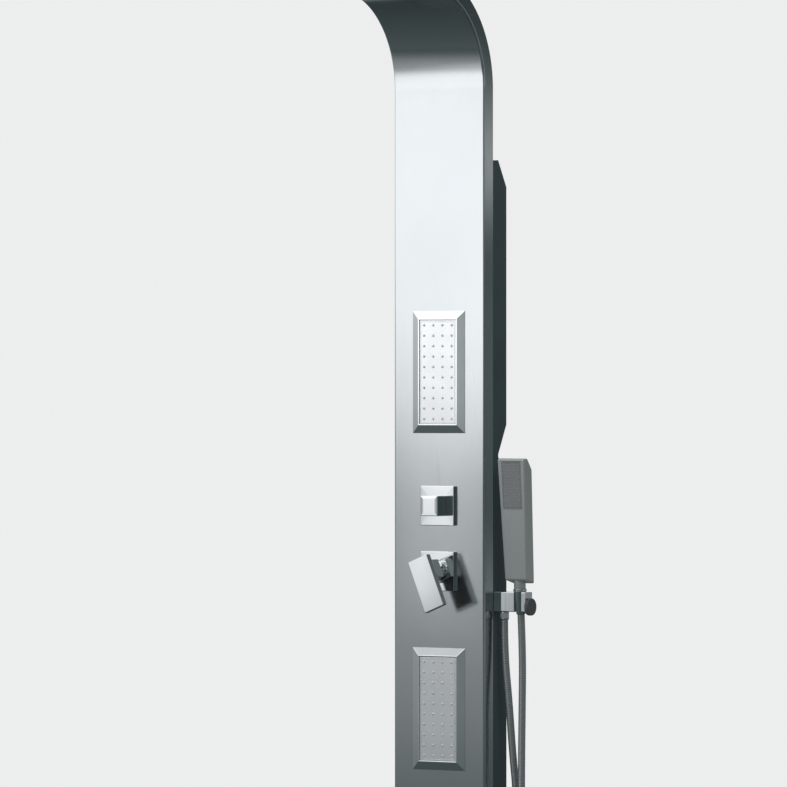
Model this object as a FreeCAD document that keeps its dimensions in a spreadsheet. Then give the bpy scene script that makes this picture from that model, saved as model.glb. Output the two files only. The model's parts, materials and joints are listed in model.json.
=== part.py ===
import FreeCAD, Part
import math
import os
import re

import Sketcher

# A wall-mounted shower panel column: one bent stainless front whose top arches
# forward into a canopy with a rain head, two body-jet fields, a diverter, a
# single-lever mixer, and a hand shower in a tilting holder at the right side.
#
# Frame: +Z up, the front faces -Y, the wall is the plane Y = 0, and the origin
# is the centre of the four wall screws. Lengths are millimetres.

V = FreeCAD.Vector

# ---------------------------------------------------------------- driving sizes
SIZES = {
    # front panel: one sheet, folded at both sides, swept over the arch
    "panel_width": 200.0,
    "stand_off": 80.0,
    "panel_bottom": -700.0,
    "arch_start": 698.0,
    "arch_radius": 175.0,
    "flange_depth": 30.0,
    "sheet_gauge": 1.5,
    "fold_radius": 2.0,
    "cap_gauge": 1.5,
    "cap_lip": 12.0,
    "cover_gauge": 1.2,
    "cover_inset": 4.0,
    # back tray between the flanges
    "tray_gauge": 1.2,
    "tray_back": 51.0,
    "tray_front": 8.0,
    "tray_foot": 10.0,
    "tray_top": 566.0,
    "window_rib": 10.0,
    "window_margin": 40.0,
    # rear casings, which stand on the wall
    "casing_wall": 2.0,
    "upper_casing_low": 18.0,
    "upper_casing_high": 567.0,
    "upper_low_slant": 56.0,
    "high_slant": 50.0,
    "lower_casing_low": -680.0,
    "lower_casing_high": 14.0,
    "lower_high_slant": 29.0,
    "boss_radius": 5.0,
    "boss_inset": 10.0,
    "boss_end": 70.0,
    # wall brackets
    "screw_spacing_x": 100.0,
    "screw_spacing_z": 900.0,
    "bracket_width": 140.0,
    "bracket_gauge": 2.5,
    "bracket_drop": 34.0,
    "hook_rise": 18.0,
    "hook_gap": 0.5,
    "wall_hole_radius": 3.0,
    "hole_to_hook": 16.0,
    # small screws
    "screw_radius": 1.5,
    "screw_head_radius": 3.2,
    "screw_head": 2.0,
    "screw_bite": 4.0,
    "screw_clearance": 0.2,
    # spray fields: two body jets and the rain head
    "jet_width": 115.0,
    "jet_height": 228.0,
    "upper_jet": 172.0,
    "lower_jet": -456.0,
    "jet_columns": 4,
    "jet_rows": 10,
    "rain_width": 160.0,
    "rain_length": 196.0,
    "rain_start": 22.0,
    "rain_end": 17.0,
    "rain_columns": 6,
    "rain_rows": 8,
    "bevel_width": 8.0,
    "bevel_rise": 6.0,
    "rim_width": 9.0,
    "collar_wall": 2.5,
    "collar_depth": 6.0,
    "seat_gap": 0.2,
    "plate_recess": 2.0,
    "plate_gauge": 3.0,
    "nozzle_radius": 2.2,
    "nozzle_height": 2.0,
    "chamber_flange": 13.0,
    "chamber_depth": 22.0,
    "chamber_wall": 2.5,
    "spigot_radius": 8.0,
    "spigot_length": 6.0,
    # square cover plates of the two controls
    "plate_side": 74.0,
    "plate_rise": 7.0,
    "plate_skin": 1.5,
    "plate_wall": 2.5,
    "plate_chamfer": 1.2,
    # diverter
    "diverter": -77.0,
    "diverter_neck": 14.0,
    "diverter_radius": 22.0,
    "diverter_depth": 42.0,
    "stem_radius": 4.0,
    "stem_bore": 28.0,
    "socket_depth": 12.0,
    "knob_side": 38.0,
    "knob_front": 35.0,
    "knob_gap": 0.6,
    "knob_round": 1.2,
    # mixer
    "mixer": -199.0,
    "mixer_neck": 20.0,
    "mixer_radius": 26.0,
    "mixer_depth": 48.0,
    "cartridge_radius": 17.5,
    "cartridge_length": 34.0,
    "ring_nut_wall": 6.0,
    "ring_nut_height": 4.0,
    "neck_rise": 5.0,
    "part_gap": 0.3,
    "dome_centre": 9.0,
    "dome_radius": 19.0,
    "dome_wall": 2.5,
    "dome_gap": 0.5,
    "cup_rim": 10.0,
    "spindle_radius": 4.0,
    "spindle_swing": 5.0,
    "well_depth": 8.0,
    "mouth_gap": 9.0,
    "lever_angle": 22.0,
    "lever_width": 45.0,
    "lever_gauge": 12.0,
    "lever_front": 60.0,
    "lever_up": 27.0,
    "lever_down": 74.0,
    "lever_neck": 36.0,
    "lever_round": 1.5,
    # water ways behind the panel
    "valve_to_face": 30.0,
    "pipe_radius": 6.0,
    "port_radius": 8.0,
    "port_length": 8.0,
    "riser_y": -42.0,
    "pipe_back": -30.0,
    "pipe_run": 16.0,
    "pipe_bend": 15.0,
    "side_pipe_x": 28.0,
    "down_pipe_x": 38.0,
    "pipe_dip": 45.0,
    "pipe_step": 23.0,
    "riser_straight": 20.0,
    "riser_settle": 50.0,
    "riser_leave": 110.0,
    "riser_near": 60.0,
    "pipe_leave": 150.0,
    "pipe_rejoin": 50.0,
    "handset_pipe_x": 42.0,
    "pipe_drop": 60.0,
    "inlet_radius": 10.4775,
    "inlet_length": 14.0,
    "inlet_pipe": 9.0,
    "inlet_x": 57.0,
    "inlet_setback": 10.0,
    "supply_height": 80.0,
    # outlet block and hand shower holder at the right side
    "outlet": -255.0,
    "block_height": 37.0,
    "block_depth": 24.0,
    "block_face": 31.0,
    "block_reach": 27.5,
    "block_round": 1.5,
    "outlet_x": 19.0,
    "nipple_radius": 6.0,
    "nipple_length": 9.0,
    "elbow_radius": 7.0,
    "elbow_bite": 12.0,
    "elbow_turn": 14.5,
    "elbow_rise": 30.0,
    "pivot": -264.0,
    "pivot_depth": 42.5,
    "handset_x": 153.0,
    "cradle_right": 17.0,
    "cradle_slot": 16.5,
    "seat_top_radius": 11.9,
    "seat_foot_radius": 9.3,
    "pin_radius": 3.0,
    "pin_fit": 0.05,
    "pin_reach": 9.0,
    "tilt_knob_radius": 16.0,
    "tilt_knob_width": 8.0,
    # hand shower, upright in its own frame
    "handset_lean": 4.6,
    "bar_width": 52.0,
    "bar_depth": 27.0,
    "bar_start": 51.0,
    "bar_end": 277.0,
    "bar_round": 3.5,
    "crown_flat": 12.0,
    "crown_drop": 22.0,
    "foot_drop": 9.0,
    "neck_radius": 11.0,
    "neck_start": 34.0,
    "shank_radius": 6.5,
    "shank_length": 12.0,
    "spray_width": 42.0,
    "spray_height": 88.0,
    "spray_margin": 6.0,
    "spray_gauge": 2.0,
    "spray_columns": 4,
    "spray_rows": 8,
    "spray_nozzle": 1.4,
    "spray_nozzle_height": 1.0,
    # hose and its two nuts
    "hose_lead": 72.0,
    "hose_radius": 7.0,
    "cone_low": -14.0,
    "flange_height": 5.5,
    "outlet_nut_radius": 8.5,
    "outlet_nut_height": 15.0,
}

# Sizes that follow from the ones above. A sheet formula keeps each up to date.
DERIVED = {
    "half_width": "panel_width/2",
    "half_inside": "panel_width/2-sheet_gauge",
    "face": "-stand_off",
    "inner_face": "sheet_gauge-stand_off",
    "flange_edge": "flange_depth-stand_off",
    "tray_rear": "tray_back-stand_off",
    "canopy_under": "arch_start+arch_radius",
    "rain_setback": "rain_start+rain_length/2",
    "canopy_reach": "rain_setback+rain_length/2+rain_end",
    "canopy_tip": "-stand_off-arch_radius-canopy_reach",
    "window_width": "2*(half_inside-casing_wall-boss_inset-window_rib)",
    "arch_axis": "-stand_off-arch_radius",
    "bracket_z": "screw_spacing_z/2",
    "border": "bevel_width+rim_width",
    "rain_y": "-stand_off-arch_radius-rain_setback",
    "valve_y": "valve_to_face-stand_off",
    "block_left": "panel_width/2-sheet_gauge",
    "block_front": "block_face-stand_off",
    "block_low": "outlet-block_height/2",
    "block_high": "outlet+block_height/2",
    "pivot_y": "pivot_depth-stand_off",
    "cradle_left": "block_left+block_reach+part_gap-handset_x",
}

DOC = FreeCAD.newDocument("shower_panel_column")
SHEET = DOC.addObject("Spreadsheet::Sheet", "sizes")
ALIASES = set(SIZES) | set(DERIVED)
NODES = {}


def ex(text):
    """An expression in which each size's name points at its cell."""
    word = re.compile(r"[A-Za-z_][A-Za-z_0-9]*")
    return word.sub(lambda m: "sizes." + m[0] if m[0] in ALIASES else m[0], str(text))


def fill_sheet():
    row = 0
    for name, value in SIZES.items():
        row += 1
        SHEET.set(f"A{row}", name)
        SHEET.set(f"B{row}", str(value))
        SHEET.setAlias(f"B{row}", name)
    for name, formula in DERIVED.items():
        row += 1
        SHEET.set(f"A{row}", name)
        SHEET.set(f"B{row}", "=" + formula)
        SHEET.setAlias(f"B{row}", name)
    DOC.recompute()


fill_sheet()


def val(text):
    """The number that an expression of sizes has now."""
    return float(SHEET.evalExpression(ex(text)))


# ------------------------------------------------------------ modelling helpers
def new_body(label, base=("0", "0", "0"), turn=None):
    """A body with its own label, placed at base and turned by a rotation."""
    body = DOC.addObject("PartDesign::Body", label)
    body.Label = label
    body.Placement = FreeCAD.Placement(V(0, 0, 0), turn or FreeCAD.Rotation())
    for letter, text in zip("xyz", base):
        body.setExpression("Placement.Base." + letter, ex(text))
    NODES[label] = body
    return body


def new_sketch(body, role, offset="0"):
    """A sketch on an origin plane of its body, moved along +X, +Y or +Z."""
    sketch = body.newObject("Sketcher::SketchObject", body.Name + "_sketch")
    plane = [f for f in body.Origin.OriginFeatures if f.Role == role][0]
    sketch.AttachmentSupport = [(plane, "")]
    sketch.MapMode = "FlatFace"
    sign = "-" if role == "XZ_Plane" else ""
    sketch.setExpression("AttachmentOffset.Base.z", ex(f"{sign}({offset})"))
    return sketch


def hold_distance(sketch, kind, geometry, end, text):
    """Hold one coordinate of a point of a sketch."""
    index = sketch.addConstraint(Sketcher.Constraint(kind, -1, 1, geometry, end, val(text)))
    sketch.renameConstraint(index, f"{kind}_{index}")
    sketch.setExpression(f"Constraints.{kind}_{index}", ex(text))


def pin_point(sketch, geometry, end, texts):
    """Hold one point of a sketch at the place that two expressions give."""
    for kind, text in zip(("DistanceX", "DistanceY"), texts):
        hold_distance(sketch, kind, geometry, end, text)


def add_polygon(sketch, corners):
    """A closed outline of straight edges through corners given as expressions."""
    spots = [V(val(a), val(b), 0) for a, b in corners]
    first = sketch.GeometryCount
    count = len(spots)
    edges = [Part.LineSegment(spots[i], spots[(i + 1) % count]) for i in range(count)]
    sketch.addGeometry(edges, False)
    for i in range(count):
        joined = Sketcher.Constraint("Coincident", first + i, 2, first + (i + 1) % count, 1)
        sketch.addConstraint(joined)
    for i, corner in enumerate(corners):
        pin_point(sketch, first + i, 1, corner)


def add_rectangle(sketch, low, high):
    (x0, y0), (x1, y1) = low, high
    add_polygon(sketch, [(x0, y0), (x1, y0), (x1, y1), (x0, y1)])


def centred_rectangle(sketch, width, height):
    """A rectangle about the sketch's origin."""
    x, y = f"({width})/2", f"({height})/2"
    add_rectangle(sketch, ("-" + x, "-" + y), (x, y))


def add_circle(sketch, x, y, radius):
    circle = Part.Circle(V(val(x), val(y), 0), V(0, 0, 1), val(radius))
    geometry = sketch.addGeometry(circle, False)
    pin_point(sketch, geometry, 3, (x, y))
    index = sketch.addConstraint(Sketcher.Constraint("Radius", geometry, val(radius)))
    sketch.renameConstraint(index, f"radius_{index}")
    sketch.setExpression(f"Constraints.radius_{index}", ex(radius))


def add_hexagon(sketch, x, y, radius):
    """Six corners on a circle, for a small nozzle."""
    corners = []
    for k in range(6):
        turn = 60 * k
        corners.append((f"{x}+{radius}*cos({turn} deg)", f"{y}+{radius}*sin({turn} deg)"))
    add_polygon(sketch, corners)


def corner_spots(x, y):
    """The four mirrored places of one spot."""
    return [(f"{a}({x})", f"{b}({y})") for a in ("-", "") for b in ("-", "")]


def add_feature(body, kind, sketch, length, **options):
    feature = body.newObject("PartDesign::" + kind, body.Name + "_" + kind.lower())
    feature.Profile = sketch
    feature.setExpression("Length", ex(length))
    for name, value in options.items():
        setattr(feature, name, value)
    sketch.Visibility = False
    DOC.recompute()
    return feature


def pad(body, sketch, length, **options):
    return add_feature(body, "Pad", sketch, length, **options)


def cut_through(body, sketch, length):
    """A pocket that reaches half its length to each side of its sketch."""
    before = body.Shape.Volume
    feature = add_feature(body, "Pocket", sketch, length, Midplane=True)
    if body.Shape.Volume >= before - 1e-6:
        raise RuntimeError(body.Label + ": a pocket cuts nothing")
    return feature


def edge_names(shape, wanted):
    return [f"Edge{i + 1}" for i, edge in enumerate(shape.Edges) if wanted(edge)]


def runs_along(direction):
    """A test for straight edges parallel to a direction."""
    def test(edge):
        if edge.Curve.TypeId != "Part::GeomLine":
            return False
        return abs(abs(edge.tangentAt(edge.FirstParameter).dot(direction)) - 1) < 1e-6
    return test


def dress(body, kind, names, size):
    """A fillet or chamfer on the named edges of a body's last feature."""
    base = body.Tip
    feature = body.newObject("PartDesign::" + kind, body.Name + "_" + kind.lower())
    feature.Base = (base, names)
    feature.setExpression("Radius" if kind == "Fillet" else "Size", ex(size))
    DOC.recompute()
    return feature


def turned(label, outline, base, turn, role="XZ_Plane"):
    """A body of revolution: outline gives (radius, height) along its own +Z."""
    body = new_body(label, base, turn)
    sketch = new_sketch(body, role)
    add_polygon(sketch, outline)
    feature = body.newObject("PartDesign::Revolution", body.Name + "_turning")
    feature.Profile = sketch
    feature.ReferenceAxis = (sketch, ["V_Axis"])
    feature.Angle = 360
    sketch.Visibility = False
    DOC.recompute()
    return body


def node_shape(label, shape):
    """A sub-part whose shape comes from the sizes by Part's own functions."""
    feature = DOC.addObject("Part::Feature", label)
    feature.Label = label
    feature.Shape = shape
    NODES[label] = feature
    return feature


OUTWARD = FreeCAD.Rotation(V(1, 0, 0), 90)      # own +Z points out of the panel
RIGHTWARD = FreeCAD.Rotation(V(0, 1, 0), 90)    # own +Z points to +X
DOWNWARD = FreeCAD.Rotation(V(1, 0, 0), 180)    # own +Z points down
LEVER_TURN = FreeCAD.Rotation(V(0, 1, 0), -val("lever_angle"))
HANDSET_TURN = FreeCAD.Rotation(V(1, 0, 0), val("handset_lean"))


# ------------------------------------------------------------------ front panel
def arch_path(body, inset, foot, tip):
    """A line up the panel, over the arch and along the canopy, inset behind the
    front face, from the foot's height to the tip's place."""
    sketch = new_sketch(body, "YZ_Plane")
    upright = f"face+{inset}"
    level = f"arch_start+arch_radius+{inset}"
    axis = V(val("arch_axis"), val("arch_start"), 0)
    crown = V(axis.x, val(level), 0)
    spring = V(val(upright), axis.y, 0)
    arc = Part.ArcOfCircle(Part.Circle(axis, V(0, 0, 1), val(f"arch_radius+{inset}")), 0, math.pi / 2)
    rise = Part.LineSegment(V(val(upright), val(foot), 0), spring)
    run = Part.LineSegment(crown, V(val(tip), val(level), 0))
    sketch.addGeometry([rise, arc, run], False)
    sketch.addConstraint(Sketcher.Constraint("Coincident", 0, 2, 1, 1))
    sketch.addConstraint(Sketcher.Constraint("Coincident", 1, 2, 2, 1))
    sketch.addConstraint(Sketcher.Constraint("Horizontal", 2))
    pin_point(sketch, 0, 1, (upright, foot))
    pin_point(sketch, 0, 2, (upright, "arch_start"))
    pin_point(sketch, 1, 3, ("arch_axis", "arch_start"))
    hold_distance(sketch, "DistanceX", 1, 2, "arch_axis")
    hold_distance(sketch, "DistanceX", 2, 2, tip)
    return sketch


def sweep(body, profile, path):
    feature = body.newObject("PartDesign::AdditivePipe", body.Name + "_sweep")
    feature.Profile = profile
    feature.Spine = path
    profile.Visibility = False
    path.Visibility = False
    DOC.recompute()
    return feature


def spray_openings(sketch, width, height, x="0", y="0"):
    """A spray field's window and its four screw holes, in a panel's sketch."""
    half_x = f"({width})/2-border+collar_wall+seat_gap"
    half_y = f"({height})/2-border+collar_wall+seat_gap"
    add_rectangle(sketch, (f"{x}-({half_x})", f"{y}-({half_y})"),
                  (f"{x}+({half_x})", f"{y}+({half_y})"))
    for dx, dy in spray_screw_spots(width, height):
        add_circle(sketch, f"{x}+{dx}", f"{y}+{dy}", "screw_radius+screw_clearance")


def spray_screw_spots(width, height):
    """Where the screws of a spray field stand, beside the collar."""
    return corner_spots(f"({width})/2-border+collar_wall+chamber_flange/2", f"({height})/2-2*border")


def make_front_panel():
    body = new_body("front_panel")
    section = new_sketch(body, "XY_Plane", "panel_bottom")
    add_polygon(section, [
        ("-half_width", "face"), ("half_width", "face"),
        ("half_width", "flange_edge"), ("half_inside", "flange_edge"),
        ("half_inside", "inner_face"), ("-half_inside", "inner_face"),
        ("-half_inside", "flange_edge"), ("-half_width", "flange_edge")])
    sweep(body, section, arch_path(body, "0", "panel_bottom", "canopy_tip"))
    half = val("half_width")
    centre = V(0, val("arch_axis"), val("arch_start"))

    def on_front_fold(edge):
        ends = [edge.valueAt(edge.FirstParameter), edge.valueAt(edge.LastParameter)]
        for point in ends:
            level = abs(point.z - val("canopy_under")) < 1e-4 and point.y <= centre.y + 1e-4
            upright = abs(point.y - val("face")) < 1e-4 and point.z <= centre.z + 1e-4
            if abs(abs(point.x) - half) > 1e-4 or not (level or upright):
                return False
        return abs(ends[0].x - ends[1].x) < 1e-4

    dress(body, "Fillet", edge_names(body.Tip.Shape, on_front_fold), "fold_radius")
    face = new_sketch(body, "XZ_Plane", "face")
    for height in ("upper_jet", "lower_jet"):
        spray_openings(face, "jet_width", "jet_height", "0", height)
    add_circle(face, "0", "diverter", "diverter_neck+part_gap")
    add_circle(face, "0", "mixer", "mixer_neck+part_gap")
    cut_through(body, face, "4*sheet_gauge")
    under = new_sketch(body, "XY_Plane", "canopy_under")
    spray_openings(under, "rain_width", "rain_length", "0", "rain_y")
    cut_through(body, under, "4*sheet_gauge")


def make_caps():
    """The plate that closes the bottom, and the one at the canopy's tip."""
    bottom = new_body("bottom_cap")
    outline = new_sketch(bottom, "YZ_Plane")
    add_polygon(outline, [
        ("inner_face", "panel_bottom"), ("flange_edge", "panel_bottom"),
        ("flange_edge", "panel_bottom+cap_gauge"),
        ("inner_face+cap_gauge", "panel_bottom+cap_gauge"),
        ("inner_face+cap_gauge", "panel_bottom+cap_lip"),
        ("inner_face", "panel_bottom+cap_lip")])
    pad(bottom, outline, "2*half_inside", Midplane=True)
    holes = new_sketch(bottom, "XY_Plane", "panel_bottom")
    for x in ("-half_width/2", "half_width/2"):
        add_circle(holes, x, cap_screw_y(), "screw_radius+screw_clearance")
    cut_through(bottom, holes, "4*cap_gauge")
    tip = new_body("canopy_end_cap")
    outline = new_sketch(tip, "YZ_Plane")
    add_polygon(outline, [
        ("canopy_tip", "canopy_under+sheet_gauge"),
        ("canopy_tip", "canopy_under+flange_depth"),
        ("canopy_tip+cap_gauge", "canopy_under+flange_depth"),
        ("canopy_tip+cap_gauge", "canopy_under+sheet_gauge+cap_gauge"),
        ("canopy_tip+cap_lip", "canopy_under+sheet_gauge+cap_gauge"),
        ("canopy_tip+cap_lip", "canopy_under+sheet_gauge")])
    pad(tip, outline, "2*half_inside", Midplane=True)


def cap_screw_y():
    return "(tray_front-stand_off+flange_edge)/2"


def make_canopy_cover():
    """The thin cover between the flanges, behind the arch and over the canopy."""
    body = new_body("canopy_cover")
    section = new_sketch(body, "XY_Plane", "tray_top")
    front = "flange_edge-cover_inset-cover_gauge"
    rear = "flange_edge-cover_inset"
    add_rectangle(section, ("-half_inside", front), ("half_inside", rear))
    inset = "flange_depth-cover_inset-cover_gauge"
    sweep(body, section, arch_path(body, inset, "tray_top", "canopy_tip+cap_gauge"))


# --------------------------------------------------------- tray, casings, hooks
def make_back_tray():
    body = new_body("back_tray")
    outline = new_sketch(body, "XZ_Plane", "tray_rear")
    add_rectangle(outline, ("-half_inside", "panel_bottom+tray_foot"), ("half_inside", "tray_top"))
    pad(body, outline, "tray_back-tray_front")
    hollow = new_sketch(body, "XZ_Plane", "tray_front-stand_off")
    add_rectangle(hollow, ("-half_inside+tray_gauge", "panel_bottom+tray_foot+tray_gauge"),
                  ("half_inside-tray_gauge", "tray_top-tray_gauge"))
    cut_through(body, hollow, "2*(tray_back-tray_front-tray_gauge)")
    windows = new_sketch(body, "XZ_Plane", "tray_rear")
    add_rectangle(windows, ("-window_width/2", "upper_casing_low+window_margin"),
                  ("window_width/2", "upper_casing_high-high_slant-window_margin/2"))
    add_rectangle(windows, ("-window_width/2", "lower_casing_low+high_slant+window_margin/2"),
                  ("window_width/2", "lower_casing_high-window_margin"))
    for x, z in upper_boss_spots() + lower_boss_spots():
        add_circle(windows, x, z, "screw_radius+screw_clearance")
    cut_through(body, windows, "4*tray_gauge")
    side = new_sketch(body, "YZ_Plane", "half_inside")
    add_circle(side, "pivot_y", "outlet", "elbow_radius+part_gap")
    cut_through(body, side, "4*tray_gauge")
    foot = new_sketch(body, "XY_Plane", "panel_bottom+tray_foot")
    for x in ("-half_width/2", "half_width/2"):
        add_circle(foot, x, cap_screw_y(), "screw_radius")
    cut_through(body, foot, "4*tray_gauge")
    riser = new_sketch(body, "XY_Plane", "tray_top")
    add_circle(riser, "0", riser_top_y(), "pipe_radius+1")
    cut_through(body, riser, "4*tray_gauge")


def riser_top_y():
    """Where the riser stands once it has come forward between the flanges."""
    return "(inner_face+flange_edge-cover_inset-cover_gauge)/2"


def boss_spots(low, high):
    x = "half_inside-casing_wall-boss_inset"
    return [(a + f"({x})", z) for a in ("-", "") for z in (low, high)]


def upper_boss_spots():
    return boss_spots("upper_casing_low+boss_end", "upper_casing_high-boss_end")


def lower_boss_spots():
    return boss_spots("lower_casing_low+boss_end", "lower_casing_high-boss_end")


def make_casing(label, low, high, low_slant, high_slant, spots, hook):
    """A box with sloped ends, open to the tray, with four screw bosses and a
    window in its rear wall for the wall bracket."""
    body = new_body(label)
    outline = new_sketch(body, "YZ_Plane")
    add_polygon(outline, [("tray_rear", low), ("0", f"{low}+{low_slant}"),
                          ("0", f"{high}-{high_slant}"), ("tray_rear", high)])
    pad(body, outline, "2*half_inside", Midplane=True)
    shape = body.Tip.Shape
    front = [f"Face{i + 1}" for i, face in enumerate(shape.Faces)
             if abs(face.CenterOfMass.y - val("tray_rear")) < 1e-6]
    box = body.Tip
    shell = body.newObject("PartDesign::Thickness", label + "_shell")
    shell.Base = (box, front)
    shell.setExpression("Value", ex("casing_wall"))
    shell.Reversed = True
    shell.Join = "Intersection"
    DOC.recompute()
    posts = new_sketch(body, "XZ_Plane", "-casing_wall")
    for x, z in spots:
        add_circle(posts, x, z, "boss_radius")
    pad(body, posts, "-tray_rear-casing_wall")
    pilots = new_sketch(body, "XZ_Plane", "tray_rear")
    for x, z in spots:
        add_circle(pilots, x, z, "screw_radius")
    cut_through(body, pilots, "2*(screw_bite+2)")
    window = new_sketch(body, "XZ_Plane", "0")
    add_rectangle(window, ("-bracket_width/2-2", f"{hook}-bracket_drop"),
                  ("bracket_width/2+2", f"{hook}+hole_to_hook"))
    cut_through(body, window, "4*casing_wall")
    return body


def make_casings():
    make_casing("upper_rear_casing", "upper_casing_low", "upper_casing_high", "upper_low_slant",
                "high_slant", upper_boss_spots(), "bracket_z")
    lower = make_casing("lower_rear_casing", "lower_casing_low", "lower_casing_high", "high_slant",
                        "lower_high_slant", lower_boss_spots(), "-bracket_z")
    supply = new_sketch(lower, "XZ_Plane", "0")
    add_rectangle(supply, ("-window_width/2", "mixer-supply_height/2"),
                  ("window_width/2", "mixer+supply_height/2"))
    cut_through(lower, supply, "4*casing_wall")


def make_wall_bracket(label, height):
    """A folded hook plate: its foot is screwed to the wall, and its tongue
    stands inside the casing's rear wall."""
    body = new_body(label, ("0", "0", height))
    outline = new_sketch(body, "YZ_Plane")
    gauge = "bracket_gauge"
    tongue = "casing_wall+hook_gap"
    add_polygon(outline, [
        ("0", "-bracket_drop+hook_gap"), ("0", "hole_to_hook-hook_gap"),
        (f"-({tongue})", "hole_to_hook-hook_gap"), (f"-({tongue})", "hole_to_hook+hook_rise"),
        (f"-({tongue})-{gauge}", "hole_to_hook+hook_rise"),
        (f"-({tongue})-{gauge}", f"hole_to_hook-hook_gap-{gauge}"),
        (f"-{gauge}", f"hole_to_hook-hook_gap-{gauge}"), (f"-{gauge}", "-bracket_drop+hook_gap")])
    pad(body, outline, "bracket_width", Midplane=True)
    holes = new_sketch(body, "XZ_Plane", "0")
    for x in ("-screw_spacing_x/2", "screw_spacing_x/2"):
        add_circle(holes, x, "0", "wall_hole_radius")
    cut_through(body, holes, "4*bracket_gauge")


# ------------------------------------------------------------------------ screws
def screw_shape(grip):
    """A pan-head screw along -Z: its head sits on Z = 0, its shank hangs below."""
    shank = Part.makeCylinder(val("screw_radius"), grip, V(0, 0, -grip))
    head = Part.makeCylinder(val("screw_head_radius"), val("screw_head"))
    return shank.fuse(head).removeSplitter()


def screw_group(label, spots, grip, turn):
    """Identical screws as one node of separate solids."""
    solids = []
    for x, y, z in spots:
        solid = screw_shape(grip)
        solid.Placement = FreeCAD.Placement(V(val(x), val(y), val(z)), turn)
        solids.append(solid)
    return node_shape(label, Part.makeCompound(solids))


def make_panel_screws():
    inside = "tray_rear-tray_gauge"
    spots = [(x, inside, z) for x, z in upper_boss_spots() + lower_boss_spots()]
    screw_group("casing_screws", spots, val("tray_gauge+screw_bite"), OUTWARD)
    spots = [(x, cap_screw_y(), "panel_bottom") for x in ("-half_width/2", "half_width/2")]
    screw_group("cap_screws", spots, val("tray_foot+tray_gauge"), DOWNWARD)


# ------------------------------------------------------------------ spray fields
def make_spray_field(name, width, height, columns, rows, base, turn, spigot):
    """A bevelled frame, its nozzle plate, the water chamber behind the sheet and
    the screws that clamp the sheet between them. Its own frame has the sheet's
    face at Y = 0 and the spray towards -Y."""
    window_x = f"({width}-2*border)"
    window_y = f"({height}-2*border)"
    frame = new_body(name + "_frame", base, turn)
    rim = new_sketch(frame, "XZ_Plane")
    centred_rectangle(rim, width, height)
    rise = pad(frame, rim, "bevel_rise")
    rise.setExpression("TaperAngle", ex("-atan(bevel_width/bevel_rise)"))
    collar = new_sketch(frame, "XZ_Plane", "collar_depth")
    centred_rectangle(collar, f"{window_x}+2*collar_wall", f"{window_y}+2*collar_wall")
    pad(frame, collar, "collar_depth")
    opening = new_sketch(frame, "XZ_Plane")
    centred_rectangle(opening, window_x, window_y)
    cut_through(frame, opening, "4*(bevel_rise+collar_depth)")
    pilots = new_sketch(frame, "XZ_Plane")
    for x, y in spray_screw_spots(width, height):
        add_circle(pilots, x, y, "screw_radius")
    cut_through(frame, pilots, "2*screw_bite")

    plate = new_body(name + "_plate", base, turn)
    outline = new_sketch(plate, "XZ_Plane", "plate_recess+plate_gauge-bevel_rise")
    centred_rectangle(outline, f"{window_x}-2*seat_gap", f"{window_y}-2*seat_gap")
    pad(plate, outline, "plate_gauge")
    pitch_x = f"({window_x}/{columns})"
    pitch_y = f"({window_y}/{rows})"
    start_x = f"-{pitch_x}*({columns}-1)/2"
    start_y = f"-{pitch_y}*({rows}-1)/2"
    nozzle_grid(plate, "plate_recess-bevel_rise", (start_x, start_y), (pitch_x, pitch_y),
                (columns, rows), "nozzle_radius", "nozzle_height")

    chamber = new_body(name + "_chamber", base, turn)
    flange = new_sketch(chamber, "XZ_Plane", "sheet_gauge+chamber_wall")
    flange_x = f"{window_x}+2*(collar_wall+chamber_flange)"
    flange_y = f"{window_y}+2*(collar_wall+chamber_flange)"
    centred_rectangle(flange, flange_x, flange_y)
    for x, y in spray_screw_spots(width, height):
        add_circle(flange, x, y, "screw_radius+screw_clearance")
    pad(chamber, flange, "chamber_wall")
    box = new_sketch(chamber, "XZ_Plane", "sheet_gauge+chamber_depth")
    wall_x = f"{window_x}+2*(collar_wall+part_gap)"
    wall_y = f"{window_y}+2*(collar_wall+part_gap)"
    centred_rectangle(box, f"{wall_x}+2*chamber_wall", f"{wall_y}+2*chamber_wall")
    pad(chamber, box, "chamber_depth-chamber_wall")
    hollow = new_sketch(chamber, "XZ_Plane", "sheet_gauge")
    centred_rectangle(hollow, wall_x, wall_y)
    cut_through(chamber, hollow, "2*(chamber_depth-chamber_wall)")
    if spigot is not None:
        stub = new_sketch(chamber, "XZ_Plane", "sheet_gauge+chamber_depth+spigot_length")
        add_circle(stub, spigot, "0", "spigot_radius")
        pad(chamber, stub, "spigot_length")

    local = FreeCAD.Placement(V(*[val(text) for text in base]), turn)
    solids = []
    for x, y in spray_screw_spots(width, height):
        solid = screw_shape(val("chamber_wall+sheet_gauge+screw_bite-1"))
        seat = FreeCAD.Placement(V(val(x), val("sheet_gauge+chamber_wall"), val(y)),
                                 FreeCAD.Rotation(V(1, 0, 0), -90))
        solid.Placement = local.multiply(seat)
        solids.append(solid)
    node_shape(name + "_screws", Part.makeCompound(solids))


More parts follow.
